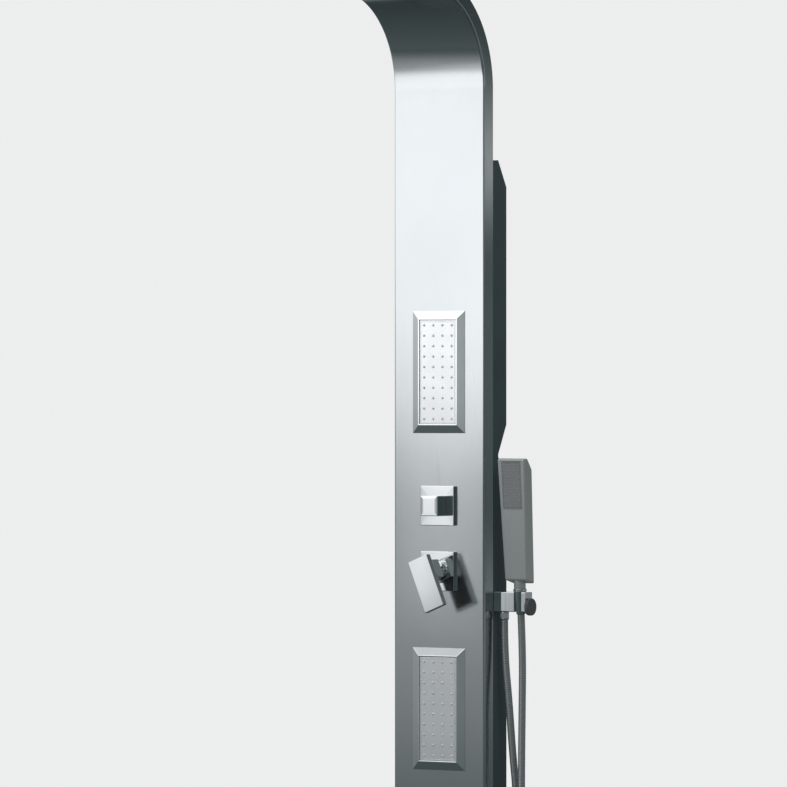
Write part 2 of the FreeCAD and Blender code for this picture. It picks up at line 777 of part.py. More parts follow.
def nozzle_grid(body, level, start, pitch, counts, radius, height):
    """Small six-sided nozzles in columns and rows on a plate's face."""
    base = body.Tip
    seed = new_sketch(body, "XZ_Plane", level)
    add_hexagon(seed, start[0], start[1], radius)
    nozzle = pad(body, seed, height)
    nozzle.setExpression("TaperAngle", "-12 deg")
    grid = body.newObject("PartDesign::LinearPattern", body.Name + "_grid")
    grid.Originals = [nozzle]
    grid.Direction = (seed, ["H_Axis"])
    grid.setExpression("Length", ex(f"{pitch[0]}*({counts[0]}-1)"))
    grid.setExpression("Occurrences", ex(counts[0]))
    grid.Direction2 = (seed, ["V_Axis"])
    grid.setExpression("Length2", ex(f"{pitch[1]}*({counts[1]}-1)"))
    grid.setExpression("Occurrences2", ex(counts[1]))
    body.Tip = grid
    DOC.recompute()
    if body.Shape.Volume <= base.Shape.Volume:
        raise RuntimeError(body.Label + ": the nozzles are missing")


# ---------------------------------------------------------------------- controls
def make_cover_plate(label, height, neck):
    """A square plate, hollow behind, that hides the nut of a control."""
    body = new_body(label, ("0", "face", height))
    outline = new_sketch(body, "XZ_Plane")
    centred_rectangle(outline, "plate_side", "plate_side")
    pad(body, outline, "plate_rise")
    dress(body, "Fillet", edge_names(body.Tip.Shape, runs_along(V(0, 1, 0))), "plate_chamfer")
    dress(body, "Chamfer", edge_names(body.Tip.Shape, lies_at_front("plate_rise")), "plate_chamfer")
    hollow = new_sketch(body, "XZ_Plane")
    centred_rectangle(hollow, "plate_side-2*plate_wall", "plate_side-2*plate_wall")
    cut_through(body, hollow, "2*(plate_rise-plate_skin)")
    bore = new_sketch(body, "XZ_Plane")
    add_circle(bore, "0", "0", neck)
    cut_through(body, bore, "4*plate_rise")


def lies_at_front(rise):
    """A test for edges in the plane that stands rise in front of the body."""
    level = -val(rise)

    def test(edge):
        box = edge.BoundBox
        return abs(box.YMin - level) < 1e-4 and abs(box.YMax - level) < 1e-4
    return test


def make_ring_nut(label, height, neck):
    hole = f"{neck}+pin_fit"
    rim = f"{neck}+ring_nut_wall"
    turned(label, [(hole, "0"), (rim, "0"), (rim, "ring_nut_height"), (hole, "ring_nut_height")],
           ("0", "face", height), OUTWARD)


# Each port of a valve: the sketch's plane, its side and whether the pad turns back.
PORTS = {
    "up": ("XZ_Plane", "", False),
    "down": ("XZ_Plane", "-", True),
    "right": ("YZ_Plane", "", True),
    "left": ("YZ_Plane", "-", False),
}


def make_valve(label, height, neck, radius, depth, bore, bore_depth, ports):
    """A brass valve body: a shoulder behind the sheet, a neck through it, a bore
    for the cartridge or stem, and side ports for the water ways."""
    rear = f"-sheet_gauge-{depth}"
    floor = f"neck_rise-{bore_depth}"
    body = turned(label, [
        ("0", rear), (radius, rear), (radius, "-sheet_gauge"), (neck, "-sheet_gauge"),
        (neck, "neck_rise"), (bore, "neck_rise"), (bore, floor), ("0", floor)],
        ("0", "face", height), OUTWARD)
    for side in ports:
        role, sign, back = PORTS[side]
        sketch = new_sketch(body, role, f"{sign}({radius}+port_length)")
        add_circle(sketch, "0", "-valve_to_face", "port_radius")
        pad(body, sketch, f"port_length+{radius}/4", Reversed=back)
    return body


def make_diverter():
    make_cover_plate("diverter_plate", "diverter", "diverter_neck+part_gap")
    make_ring_nut("diverter_nut", "diverter", "diverter_neck")
    valve = make_valve("diverter_valve", "diverter", "diverter_neck", "diverter_radius",
                       "diverter_depth", "stem_radius+pin_fit", "stem_bore", tuple(PORTS))
    rear = new_sketch(valve, "XY_Plane", "-sheet_gauge-diverter_depth-port_length")
    add_circle(rear, "0", "0", "port_radius")
    pad(valve, rear, "port_length+1")
    turned("diverter_stem", [("0", "neck_rise-stem_bore+part_gap"),
                             ("stem_radius", "neck_rise-stem_bore+part_gap"),
                             ("stem_radius", "plate_rise+socket_depth-part_gap"),
                             ("0", "plate_rise+socket_depth-part_gap")],
           ("0", "face", "diverter"), OUTWARD)
    knob = new_body("diverter_knob", ("0", "face", "diverter"))
    outline = new_sketch(knob, "XZ_Plane", "-plate_rise-knob_gap")
    centred_rectangle(outline, "knob_side", "knob_side")
    pad(knob, outline, "knob_front-plate_rise-knob_gap")
    dress(knob, "Fillet", edge_names(knob.Tip.Shape, runs_along(V(0, 1, 0))), "knob_round")
    dress(knob, "Chamfer", edge_names(knob.Tip.Shape, lies_at_front("knob_front")), "knob_round/2")
    socket = new_sketch(knob, "XZ_Plane", "-plate_rise")
    add_circle(socket, "0", "0", "stem_radius+pin_fit")
    cut_through(knob, socket, "2*socket_depth")


def make_mixer():
    make_cover_plate("mixer_plate", "mixer", "mixer_neck+part_gap")
    make_ring_nut("mixer_nut", "mixer", "mixer_neck")
    make_valve("mixer_valve", "mixer", "mixer_neck", "mixer_radius", "mixer_depth",
               "cartridge_radius+pin_fit", "cartridge_length", ("up", "right", "left"))
    foot = "neck_rise-cartridge_length"
    well = "spindle_radius+spindle_swing"
    turned("mixer_cartridge", [
        ("0", foot), ("cartridge_radius", foot), ("cartridge_radius", "neck_rise-2"),
        (well, "neck_rise-2"), (well, "neck_rise-well_depth"), ("0", "neck_rise-well_depth")],
        ("0", "face", "mixer"), OUTWARD)
    make_dome()
    make_lever()
    turned("mixer_spindle", [("0", "neck_rise-well_depth+1"), ("spindle_radius", "neck_rise-well_depth+1"),
                             ("spindle_radius", "lever_front-lever_gauge"),
                             ("0", "lever_front-lever_gauge")],
           ("0", "face", "mixer"), OUTWARD)


def hold_radius(sketch, geometry, text):
    index = sketch.addConstraint(Sketcher.Constraint("Radius", geometry, val(text)))
    sketch.renameConstraint(index, f"radius_{index}")
    sketch.setExpression(f"Constraints.radius_{index}", ex(text))


def turn_profile(body, kind, sketch, axis):
    """A full turn of a sketch about one of its axes, added or cut away."""
    feature = body.newObject("PartDesign::" + kind, body.Name + "_" + kind.lower())
    feature.Profile = sketch
    feature.ReferenceAxis = (sketch, [axis])
    feature.Angle = 360
    sketch.Visibility = False
    DOC.recompute()


def make_dome():
    """The thin ball collar over the cartridge. It turns with the lever."""
    body = new_body("mixer_dome", ("0", "face", "mixer"), OUTWARD)
    sketch = new_sketch(body, "XZ_Plane")
    low = "plate_rise+knob_gap"
    mouth = "spindle_radius+mouth_gap"
    centre = V(0, val("dome_centre"), 0)
    ends = []
    for radius in ("dome_radius", "dome_radius-dome_wall"):
        size = val(radius)
        drop = val(low) - centre.y
        waist = math.sqrt(size ** 2 - drop ** 2)
        rise = math.sqrt(size ** 2 - val(mouth) ** 2)
        circle = Part.Circle(centre, V(0, 0, 1), size)
        arc = Part.ArcOfCircle(circle, math.atan2(drop, waist), math.atan2(rise, val(mouth)))
        ends.append((V(waist, val(low), 0), V(val(mouth), centre.y + rise, 0)))
        sketch.addGeometry(arc, False)
    foot = Part.LineSegment(ends[1][0], ends[0][0])
    lip = Part.LineSegment(ends[0][1], ends[1][1])
    sketch.addGeometry([foot, lip], False)
    for joint in ((2, 1, 1, 1), (2, 2, 0, 1), (3, 1, 0, 2), (3, 2, 1, 2)):
        sketch.addConstraint(Sketcher.Constraint("Coincident", *joint))
    sketch.addConstraint(Sketcher.Constraint("Horizontal", 2))
    sketch.addConstraint(Sketcher.Constraint("Vertical", 3))
    pin_point(sketch, 0, 3, ("0", "dome_centre"))
    pin_point(sketch, 1, 3, ("0", "dome_centre"))
    hold_radius(sketch, 0, "dome_radius")
    hold_radius(sketch, 1, "dome_radius-dome_wall")
    hold_distance(sketch, "DistanceY", 2, 1, low)
    hold_distance(sketch, "DistanceX", 3, 1, mouth)
    turn_profile(body, "Revolution", sketch, "V_Axis")


def make_lever():
    """The slab lever and its square neck, whose underside is cupped to ride on
    the dome."""
    body = new_body("mixer_lever", ("0", "face", "mixer"), LEVER_TURN)
    slab = new_sketch(body, "XZ_Plane", "lever_gauge-lever_front")
    add_rectangle(slab, ("-lever_width/2", "-lever_down"), ("lever_width/2", "lever_up"))
    pad(body, slab, "lever_gauge")
    dress(body, "Fillet", edge_names(body.Tip.Shape, runs_along(V(0, 1, 0))), "lever_round")
    dress(body, "Chamfer", edge_names(body.Tip.Shape, lies_at_front("lever_front")), "lever_round/2")
    neck = new_sketch(body, "XZ_Plane", "lever_gauge-lever_front")
    centred_rectangle(neck, "lever_neck", "lever_neck")
    pad(body, neck, "lever_front-lever_gauge-dome_centre-cup_rim", Reversed=True)
    cup = new_sketch(body, "YZ_Plane")
    centre = V(-val("dome_centre"), 0, 0)
    radius = val("dome_radius+dome_gap")
    arc = Part.ArcOfCircle(Part.Circle(centre, V(0, 0, 1), radius), 0, math.pi)
    line = Part.LineSegment(centre - V(radius, 0, 0), centre + V(radius, 0, 0))
    cup.addGeometry([arc, line], False)
    cup.addConstraint(Sketcher.Constraint("Coincident", 0, 2, 1, 1))
    cup.addConstraint(Sketcher.Constraint("Coincident", 0, 1, 1, 2))
    cup.addConstraint(Sketcher.Constraint("PointOnObject", 0, 3, -1))
    cup.addConstraint(Sketcher.Constraint("PointOnObject", 0, 1, -1))
    hold_distance(cup, "DistanceX", 0, 3, "-dome_centre")
    hold_radius(cup, 0, "dome_radius+dome_gap")
    before = body.Shape.Volume
    turn_profile(body, "Groove", cup, "H_Axis")
    if body.Shape.Volume >= before:
        raise RuntimeError("mixer_lever: the cup cuts nothing")
    socket = new_sketch(body, "XZ_Plane", "-dome_centre")
    add_circle(socket, "0", "0", "spindle_radius+pin_fit")
    cut_through(body, socket, "2*(lever_front-lever_gauge-dome_centre+part_gap)")


# --------------------------------------------------------------------- water ways
def rounded_route(points, largest=None):
    """Straight runs joined by tangent arcs, and the arcs' radii. Each arc is as
    large as its two runs allow, or the largest asked for."""
    edges = []
    radii = []
    start = points[0]
    for before, corner, after in zip(points, points[1:], points[2:]):
        back = (before - corner).normalize()
        ahead = (after - corner).normalize()
        half = (math.pi - back.getAngle(ahead)) / 2
        run = min((before - corner).Length, (after - corner).Length)
        radius = 0.45 * run / math.tan(half)
        if largest is not None:
            radius = min(radius, largest)
        enter = corner + back * radius * math.tan(half)
        leave = corner + ahead * radius * math.tan(half)
        crest = corner + (back + ahead).normalize() * radius * (1 / math.cos(half) - 1)
        edges.append(Part.LineSegment(start, enter).toShape())
        edges.append(Part.Arc(enter, crest, leave).toShape())
        radii.append(radius)
        start = leave
    edges.append(Part.LineSegment(start, points[-1]).toShape())
    return edges, radii


def tube(edges, radius):
    """A round bar along a route, checked against its section times its length."""
    path = Part.Wire(edges)
    start = edges[0].valueAt(edges[0].FirstParameter)
    along = edges[0].tangentAt(edges[0].FirstParameter)
    ring = Part.Wire(Part.makeCircle(radius, start, along))
    solid = path.makePipeShell([ring], True, True)
    expected = math.pi * radius ** 2 * path.Length
    if abs(solid.Volume - expected) > 0.01 * expected:
        raise RuntimeError(f"tube volume {solid.Volume:.0f}, expected {expected:.0f}")
    return solid


def spot(x, y, z):
    return V(val(x), val(y), val(z))


def make_pipe(label, *texts):
    """A bent pipe through points that are given as expressions."""
    edges, _ = rounded_route([spot(*text) for text in texts], val("pipe_bend"))
    node_shape(label, tube(edges, val("pipe_radius")))


def make_mixed_pipe():
    """The straight pipe from the mixer's outlet up to the diverter's inlet."""
    pipe = DOC.addObject("Part::Cylinder", "mixed_water_pipe")
    pipe.Label = "mixed_water_pipe"
    low = "mixer+mixer_radius+port_length"
    pipe.setExpression("Radius", ex("pipe_radius"))
    pipe.setExpression("Height", ex(f"diverter-diverter_radius-port_length-({low})"))
    pipe.setExpression("Placement.Base.y", ex("valve_y"))
    pipe.setExpression("Placement.Base.z", ex(low))
    NODES["mixed_water_pipe"] = pipe


def make_riser():
    """The pipe from the diverter up behind the upper jets, through the tray's
    top and round the arch to the rain head's chamber."""
    port = "diverter+diverter_radius+port_length"
    front = riser_top_y()
    lower = [spot("0", "valve_y", port), spot("0", "valve_y", port + "+riser_straight"),
             spot("0", "riser_y", port + "+riser_settle"),
             spot("0", "riser_y", "tray_top-riser_leave"),
             spot("0", front, "tray_top-riser_near"), spot("0", front, "arch_start")]
    edges, _ = rounded_route(lower, val("pipe_bend"))
    axis = spot("0", "arch_axis", "arch_start")
    radius = val(front) - axis.y
    spring = lower[-1]
    crown = axis + V(0, 0, radius)
    middle = axis + V(0, radius, radius) * math.sqrt(0.5)
    rear_wall = "rain_y+(rain_length-2*border)/2+collar_wall+part_gap+chamber_wall"
    edges.append(Part.Arc(spring, middle, crown).toShape())
    edges.append(Part.LineSegment(crown, V(0, val(rear_wall), crown.z)).toShape())
    node_shape("riser_pipe", tube(edges, val("pipe_radius")))


def make_jet_pipes():
    """Pipes from the diverter's sides to the spigots of the two body jets."""
    port = "diverter_radius+port_length"
    spigot = "face+sheet_gauge+chamber_depth+spigot_length"
    make_pipe("upper_jet_pipe", (port, "valve_y", "diverter"),
              (port + "+pipe_run", "valve_y", "diverter"),
              (port + "+pipe_run", "riser_y", "diverter+pipe_dip"),
              (port + "+pipe_run", "riser_y", "upper_casing_low+window_margin+pipe_run"),
              ("side_pipe_x", "pipe_back", "upper_jet-pipe_rejoin"),
              ("side_pipe_x", "pipe_back", "upper_jet"), ("side_pipe_x", spigot, "upper_jet"))
    make_pipe("lower_jet_pipe", (f"-({port})", "valve_y", "diverter"),
              (f"-({port}+pipe_run)", "valve_y", "diverter"),
              ("-down_pipe_x", "pipe_back", "diverter-pipe_dip"),
              ("-down_pipe_x", "pipe_back", "lower_jet+pipe_leave"),
              ("-side_pipe_x", "pipe_back", "lower_jet+pipe_rejoin"),
              ("-side_pipe_x", "pipe_back", "lower_jet"), ("-side_pipe_x", spigot, "lower_jet"))


def make_inlets():
    """Two elbows from the mixer's sides back to threaded ends at the supply window."""
    port = "mixer_radius+port_length"
    root = "-inlet_setback-inlet_length"
    for label, sign in (("hot_inlet", "-"), ("cold_inlet", "")):
        points = [spot(f"{sign}({port})", "valve_y", "mixer"),
                  spot(f"{sign}inlet_x", "valve_y", "mixer"), spot(f"{sign}inlet_x", root, "mixer")]
        edges, _ = rounded_route(points)
        thread = Part.makeCylinder(val("inlet_radius"), val("inlet_length"), points[-1], V(0, 1, 0))
        node_shape(label, tube(edges, val("inlet_pipe")).fuse(thread).removeSplitter())


# ------------------------------------------------- outlet block, holder, hand shower
def make_outlet():
    """The block at the panel's side: water comes in from the left through an
    elbow and leaves by a nipple below. Its right face carries the holder's pin."""
    block = new_body("outlet_block")
    outline = new_sketch(block, "YZ_Plane", "block_left")
    add_rectangle(outline, ("block_front", "block_low"), ("block_front+block_depth", "block_high"))
    pad(block, outline, "block_reach")
    dress(block, "Fillet", edge_names(block.Tip.Shape, runs_along(V(1, 0, 0))), "block_round")
    nipple = new_sketch(block, "XY_Plane", "block_low-nipple_length")
    add_circle(nipple, "block_left+outlet_x", "pivot_y", "nipple_radius")
    pad(block, nipple, "nipple_length+block_round")
    inlet = new_sketch(block, "YZ_Plane", "block_left")
    add_circle(inlet, "pivot_y", "outlet", "elbow_radius+pin_fit")
    cut_through(block, inlet, "2*(elbow_bite+part_gap)")
    pin_hole = new_sketch(block, "YZ_Plane", "block_left+block_reach")
    add_circle(pin_hole, "pivot_y", "pivot", "pin_radius+pin_fit")
    cut_through(block, pin_hole, "2*(pin_reach+part_gap)")
    turn = spot("half_inside-elbow_turn", "pivot_y", "outlet")
    points = [spot("block_left+elbow_bite", "pivot_y", "outlet"), turn, turn + V(0, 0, val("elbow_rise"))]
    edges, _ = rounded_route(points)
    node_shape("outlet_elbow", tube(edges, val("elbow_radius")))
    elbow_x = "half_inside-elbow_turn"
    rear = "face+sheet_gauge+diverter_depth+port_length"
    make_pipe("handset_pipe", ("0", rear, "diverter"), ("0", f"{rear}+pipe_run", "diverter"),
              ("handset_pipe_x", f"{rear}+pipe_run", "diverter-pipe_step"),
              (f"(handset_pipe_x+{elbow_x})/2", "pivot_y", "diverter-pipe_rejoin"),
              (elbow_x, "pivot_y", "outlet+elbow_rise+pipe_drop"),
              (elbow_x, "pivot_y", "outlet+elbow_rise"))


def make_holder():
    pin = turned("holder_pin", [("0", "-pin_reach"), ("pin_radius", "-pin_reach"),
                                ("pin_radius", "pin_reach+part_gap"), ("0", "pin_reach+part_gap")],
                 ("block_left+block_reach", "pivot_y", "pivot"), RIGHTWARD)
    cradle = new_body("holder_cradle", ("handset_x", "pivot_y", "pivot"))
    outline = new_sketch(cradle, "YZ_Plane", "cradle_left")
    add_rectangle(outline, ("block_front-pivot_y", "block_low-pivot"),
                  ("block_front+block_depth-pivot_y", "block_high-pivot"))
    pad(cradle, outline, "cradle_right-cradle_left")
    dress(cradle, "Fillet", edge_names(cradle.Tip.Shape, runs_along(V(1, 0, 0))), "block_round")
    slot = new_sketch(cradle, "XY_Plane", "outlet-pivot")
    add_rectangle(slot, ("-cradle_slot/2", "block_front-pivot_y-1"), ("cradle_slot/2", "0"))
    cut_through(cradle, slot, "2*block_height")
    seat = new_sketch(cradle, "YZ_Plane")
    seat.AttachmentOffset = FreeCAD.Placement(V(0, 0, 0), FreeCAD.Rotation(V(0, 0, 1), val("handset_lean")))
    spread = "6*(seat_top_radius-seat_foot_radius)/block_height"
    add_polygon(seat, [("0", "block_low-pivot-6"), (f"seat_foot_radius-{spread}", "block_low-pivot-6"),
                       (f"seat_top_radius+{spread}", "block_high-pivot+6"), ("0", "block_high-pivot+6")])
    turn_profile(cradle, "Groove", seat, "V_Axis")
    pin_hole = new_sketch(cradle, "YZ_Plane", "cradle_left")
    add_circle(pin_hole, "0", "0", "pin_radius+pin_fit")
    cut_through(cradle, pin_hole, "2*(pin_reach+part_gap)")
    turned("tilt_knob", [("0", "0"), ("tilt_knob_radius", "0"), ("tilt_knob_radius", "tilt_knob_width-1.5"),
                         ("tilt_knob_radius-1.5", "tilt_knob_width"), ("0", "tilt_knob_width")],
           ("handset_x+cradle_right", "pivot_y", "pivot"), RIGHTWARD)


HANDSET_BASE = ("handset_x", "pivot_y", "pivot")


def make_handset():
    """The square bar hand shower, its spray face and the cone nut of the hose,
    all upright in a frame that leans forward about the holder's pivot."""
    body = new_body("handset_body", HANDSET_BASE, HANDSET_TURN)
    side = new_sketch(body, "YZ_Plane")
    add_polygon(side, [("-bar_depth/2", "bar_start"), ("-bar_depth/2", "bar_end"),
                       ("-bar_depth/2+crown_flat", "bar_end"), ("bar_depth/2", "bar_end-crown_drop"),
                       ("bar_depth/2", "bar_start-foot_drop")])
    pad(body, side, "bar_width", Midplane=True)
    dress(body, "Fillet", edge_names(body.Tip.Shape, lambda edge: True), "bar_round")
    neck = new_sketch(body, "XY_Plane", "neck_start")
    add_circle(neck, "0", "0", "neck_radius")
    pad(body, neck, "bar_start-neck_start+foot_drop")
    shank = new_sketch(body, "XY_Plane", "neck_start-shank_length")
    add_circle(shank, "0", "0", "shank_radius")
    pad(body, shank, "shank_length+1")
    recess = new_sketch(body, "XZ_Plane", "-bar_depth/2")
    low = "bar_end-spray_margin-spray_height"
    add_rectangle(recess, ("-spray_width/2", low), ("spray_width/2", low + "+spray_height"))
    cut_through(body, recess, "2*spray_gauge")

    face = new_body("handset_spray_face", HANDSET_BASE, HANDSET_TURN)
    outline = new_sketch(face, "XZ_Plane", "spray_gauge-bar_depth/2")
    half = "(spray_width/2-seat_gap)"
    add_rectangle(outline, ("-" + half, low + "+seat_gap"), (half, low + "+spray_height-seat_gap"))
    pad(face, outline, "spray_gauge")
    pitch_x = "(spray_width/spray_columns)"
    pitch_z = "(spray_height/spray_rows)"
    nozzle_grid(face, "-bar_depth/2", (f"-{pitch_x}*(spray_columns-1)/2", f"{low}+{pitch_z}/2"),
                (pitch_x, pitch_z), ("spray_columns", "spray_rows"), "spray_nozzle", "spray_nozzle_height")

    taper = "(seat_top_radius-seat_foot_radius)/block_height"
    top = "neck_start-flange_height"
    turned("hose_cone_nut", [
        ("0", "cone_low"),
        (f"seat_foot_radius-part_gap+{taper}*(cone_low-block_low+pivot)", "cone_low"),
        (f"seat_foot_radius-part_gap+{taper}*({top}-block_low+pivot)", top),
        ("seat_top_radius+0.6", top), ("seat_top_radius+0.6", "neck_start"),
        ("shank_radius+pin_fit", "neck_start"),
        ("shank_radius+pin_fit", "neck_start-shank_length-part_gap"),
        ("0", "neck_start-shank_length-part_gap")], HANDSET_BASE, HANDSET_TURN)


def make_hose():
    """The hose hangs in a narrow loop from the outlet nut to the cone nut. Its
    strands draw together on the way down and open again round the loop's foot."""
    nut_low = val("block_low-outlet_nut_height")
    start = V(val("block_left+outlet_x"), val("pivot_y"), nut_low)
    axis = HANDSET_TURN.multVec(V(0, 0, 1))
    seat = spot(*HANDSET_BASE)
    finish = seat + axis * val("cone_low")
    below_seat = seat + axis * (val("cone_low") - val("hose_lead"))
    points = [start, *[V(*place) for place in HOSE_ROUTE], below_seat, finish]
    edges, radii = rounded_route(points)
    node_shape("shower_hose", tube(edges, val("hose_radius")))
    length = Part.Wire(edges).Length
    print(f"hose: {length:.0f} mm, arcs " + ", ".join(f"{radius:.0f}" for radius in radii))
    turned("hose_outlet_nut", [
        ("0", "0"), ("outlet_nut_radius-1", "0"), ("outlet_nut_radius", "1"),
        ("outlet_nut_radius", "outlet_nut_height"), ("nipple_radius+pin_fit", "outlet_nut_height"),
        ("nipple_radius+pin_fit", "outlet_nut_height-nipple_length-part_gap"),
        ("0", "outlet_nut_height-nipple_length-part_gap")],
        ("block_left+outlet_x", "pivot_y", "block_low-outlet_nut_height"), FreeCAD.Rotation())


# Where the hose turns, from the outlet nut down, round the foot and up again.
HOSE_ROUTE = [
    (117.5, -37.5, -350.0),
    (126.5, -36.0, -440.0),
    (129.5, -30.0, -525.0),
    (135.0, -25.0, -605.0),
    (138.0, -22.0, -672.0),
    (133.0, -20.0, -740.0),
    (106.0, -20.0, -804.0),
    (68.0, -22.0, -854.0),
    (60.0, -25.0, -912.0),
    (93.0, -29.5, -963.0),
    (149.0, -35.0, -983.0),
    (205.0, -41.0, -963.0),
    (238.0, -45.5, -912.0),
    (231.0, -48.0, -854.0),
    (191.0, -47.5, -804.0),
    (165.0, -45.0, -732.0),
    (156.0, -40.0, -650.0),
    (152.5, -34.0, -555.0),
    (152.0, -31.0, -455.0),
]


# ------------------------------------------------------------------------- output
def check_document():
    """Stop if an object failed or a sub-part's shape is missing or invalid."""
    for item in DOC.Objects:
        if {"Invalid", "Error"} & set(item.State):
            raise RuntimeError(f"{item.Label}: {item.State}")
    for label, node in NODES.items():
        shape = node.Shape
        if shape.isNull() or not shape.isValid() or not shape.Solids:
            raise RuntimeError(f"{label}: no valid solid")


def write_parts():
    os.makedirs("parts", exist_ok=True)
    for label, node in NODES.items():
        node.Shape.exportStep(f"parts/{label}.step")


def main():
    make_front_panel()
    make_caps()
    make_canopy_cover()
    make_back_tray()
    make_casings()
    make_wall_bracket("upper_wall_bracket", "bracket_z")
    make_wall_bracket("lower_wall_bracket", "-bracket_z")
    make_panel_screws()
    make_spray_field("upper_jet", "jet_width", "jet_height", "jet_columns", "jet_rows",
                     ("0", "face", "upper_jet"), FreeCAD.Rotation(), "side_pipe_x")
    make_spray_field("lower_jet", "jet_width", "jet_height", "jet_columns", "jet_rows",
                     ("0", "face", "lower_jet"), FreeCAD.Rotation(), "-side_pipe_x")
    make_spray_field("rain_head", "rain_width", "rain_length", "rain_columns", "rain_rows",
                     ("0", "rain_y", "canopy_under"), OUTWARD, None)
    make_diverter()
    make_mixer()
    make_mixed_pipe()
    make_riser()
    make_jet_pipes()
    make_inlets()
    make_outlet()
    make_holder()
    make_handset()
    make_hose()
    DOC.recompute()
    check_document()
    write_parts()


main()
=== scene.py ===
"""Looks of a wall shower column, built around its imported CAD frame.

Each class below is one sub-assembly: it holds its own sizes in millimetres and builds the
meshes that are finer than the plain solids. Every solid gets the finish of its slot.
"""

import json
import logging
import math
from dataclasses import dataclass, field
from enum import Enum
from typing import Callable, Sequence

import bmesh
import bpy
from mathutils import Matrix, Vector


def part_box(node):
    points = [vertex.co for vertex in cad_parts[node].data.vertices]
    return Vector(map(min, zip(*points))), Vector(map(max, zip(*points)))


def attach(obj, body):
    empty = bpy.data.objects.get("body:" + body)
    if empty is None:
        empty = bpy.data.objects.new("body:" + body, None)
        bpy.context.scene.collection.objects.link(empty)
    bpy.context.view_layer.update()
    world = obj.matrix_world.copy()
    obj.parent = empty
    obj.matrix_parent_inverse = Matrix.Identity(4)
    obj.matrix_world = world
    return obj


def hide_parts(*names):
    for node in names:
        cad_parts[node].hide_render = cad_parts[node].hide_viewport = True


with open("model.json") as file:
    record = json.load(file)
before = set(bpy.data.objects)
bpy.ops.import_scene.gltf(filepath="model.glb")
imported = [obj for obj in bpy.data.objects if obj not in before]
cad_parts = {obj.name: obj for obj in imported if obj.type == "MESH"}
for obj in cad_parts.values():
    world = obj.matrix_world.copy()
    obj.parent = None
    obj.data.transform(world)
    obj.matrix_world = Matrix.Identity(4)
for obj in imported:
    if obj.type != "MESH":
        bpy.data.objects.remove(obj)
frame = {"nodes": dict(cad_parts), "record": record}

log = logging.getLogger("shower_column")

Triple = tuple[float, float, float]
Pairs = Sequence[tuple[float, float]]
Station = tuple[float, float, float, float]
Loop = list[Vector]
Mesh = bpy.types.Mesh
Piece = bpy.types.Object
Socket = bpy.types.NodeSocket
Tree = bpy.types.NodeTree

MM = 0.001
FACE_Y = -80.0
PANEL_LOW = -700.0
CANOPY_TOP = 873.0
BAR_PIVOT = (153.0, -37.5, -264.0)
BAR_LEAN = 4.6
HOSE_PITCH = 3.2


class Bodies(Enum):
    """The moving groups of the column that pieces of this script ride on."""

    PANEL = "panel"
    DIVERTER = "diverter_turn_body"
    LEVER = "mixer_handle"
    HOLDER = "holder"
    HANDSET = "hand_shower"


class Side(Enum):
    """The flat parts of the front sheet that have openings."""

    FRONT = "front"
    CANOPY = "canopy"


# -------------------------------------------------------------------------- node trees
def fill(tree: Tree, socket: Socket, value: Socket | Triple | float) -> None:
    """Link an input to another socket, or set it; a colour gets its alpha.

    Args:
        tree: The tree that both are in.
        socket: The input.
        value: What it takes.
    """
    if isinstance(value, Socket):
        tree.links.new(value, socket)
    elif socket.type == "RGBA":
        socket.default_value = (*value, 1.0)
    else:
        socket.default_value = value


def added(tree: Tree, kind: str, given: dict[str | int, Socket | Triple | float],
          **settings: str) -> bpy.types.Node:
    """Add a node and fill its inputs.

    Args:
        tree: The tree.
        kind: The node's kind.
        given: What each input takes, by the input's name or number.
        settings: The node's own settings.

    Returns:
        The node.
    """
    node = tree.nodes.new(kind)
    for label, value in settings.items():
        setattr(node, label, value)
    for label, value in given.items():
        fill(tree, node.inputs[label], value)
    return node


def ramp(tree: Tree, value: Socket, stops: Sequence[tuple[float, Triple]]) -> Socket:
    """Run between colours.

    Args:
        tree: The tree.
        value: Where on the run, 0 to 1.
        stops: Place and linear colour of the first, the last and any between.

    Returns:
        The mixed colour.
    """
    node = added(tree, "ShaderNodeValToRGB", {"Fac": value})
    elements = node.color_ramp.elements
    for index, (position, colour) in enumerate(stops):
        stop = elements[index] if index < 2 else elements.new(position)
        stop.position = position
        stop.color = (*colour, 1.0)
    return node.outputs["Color"]


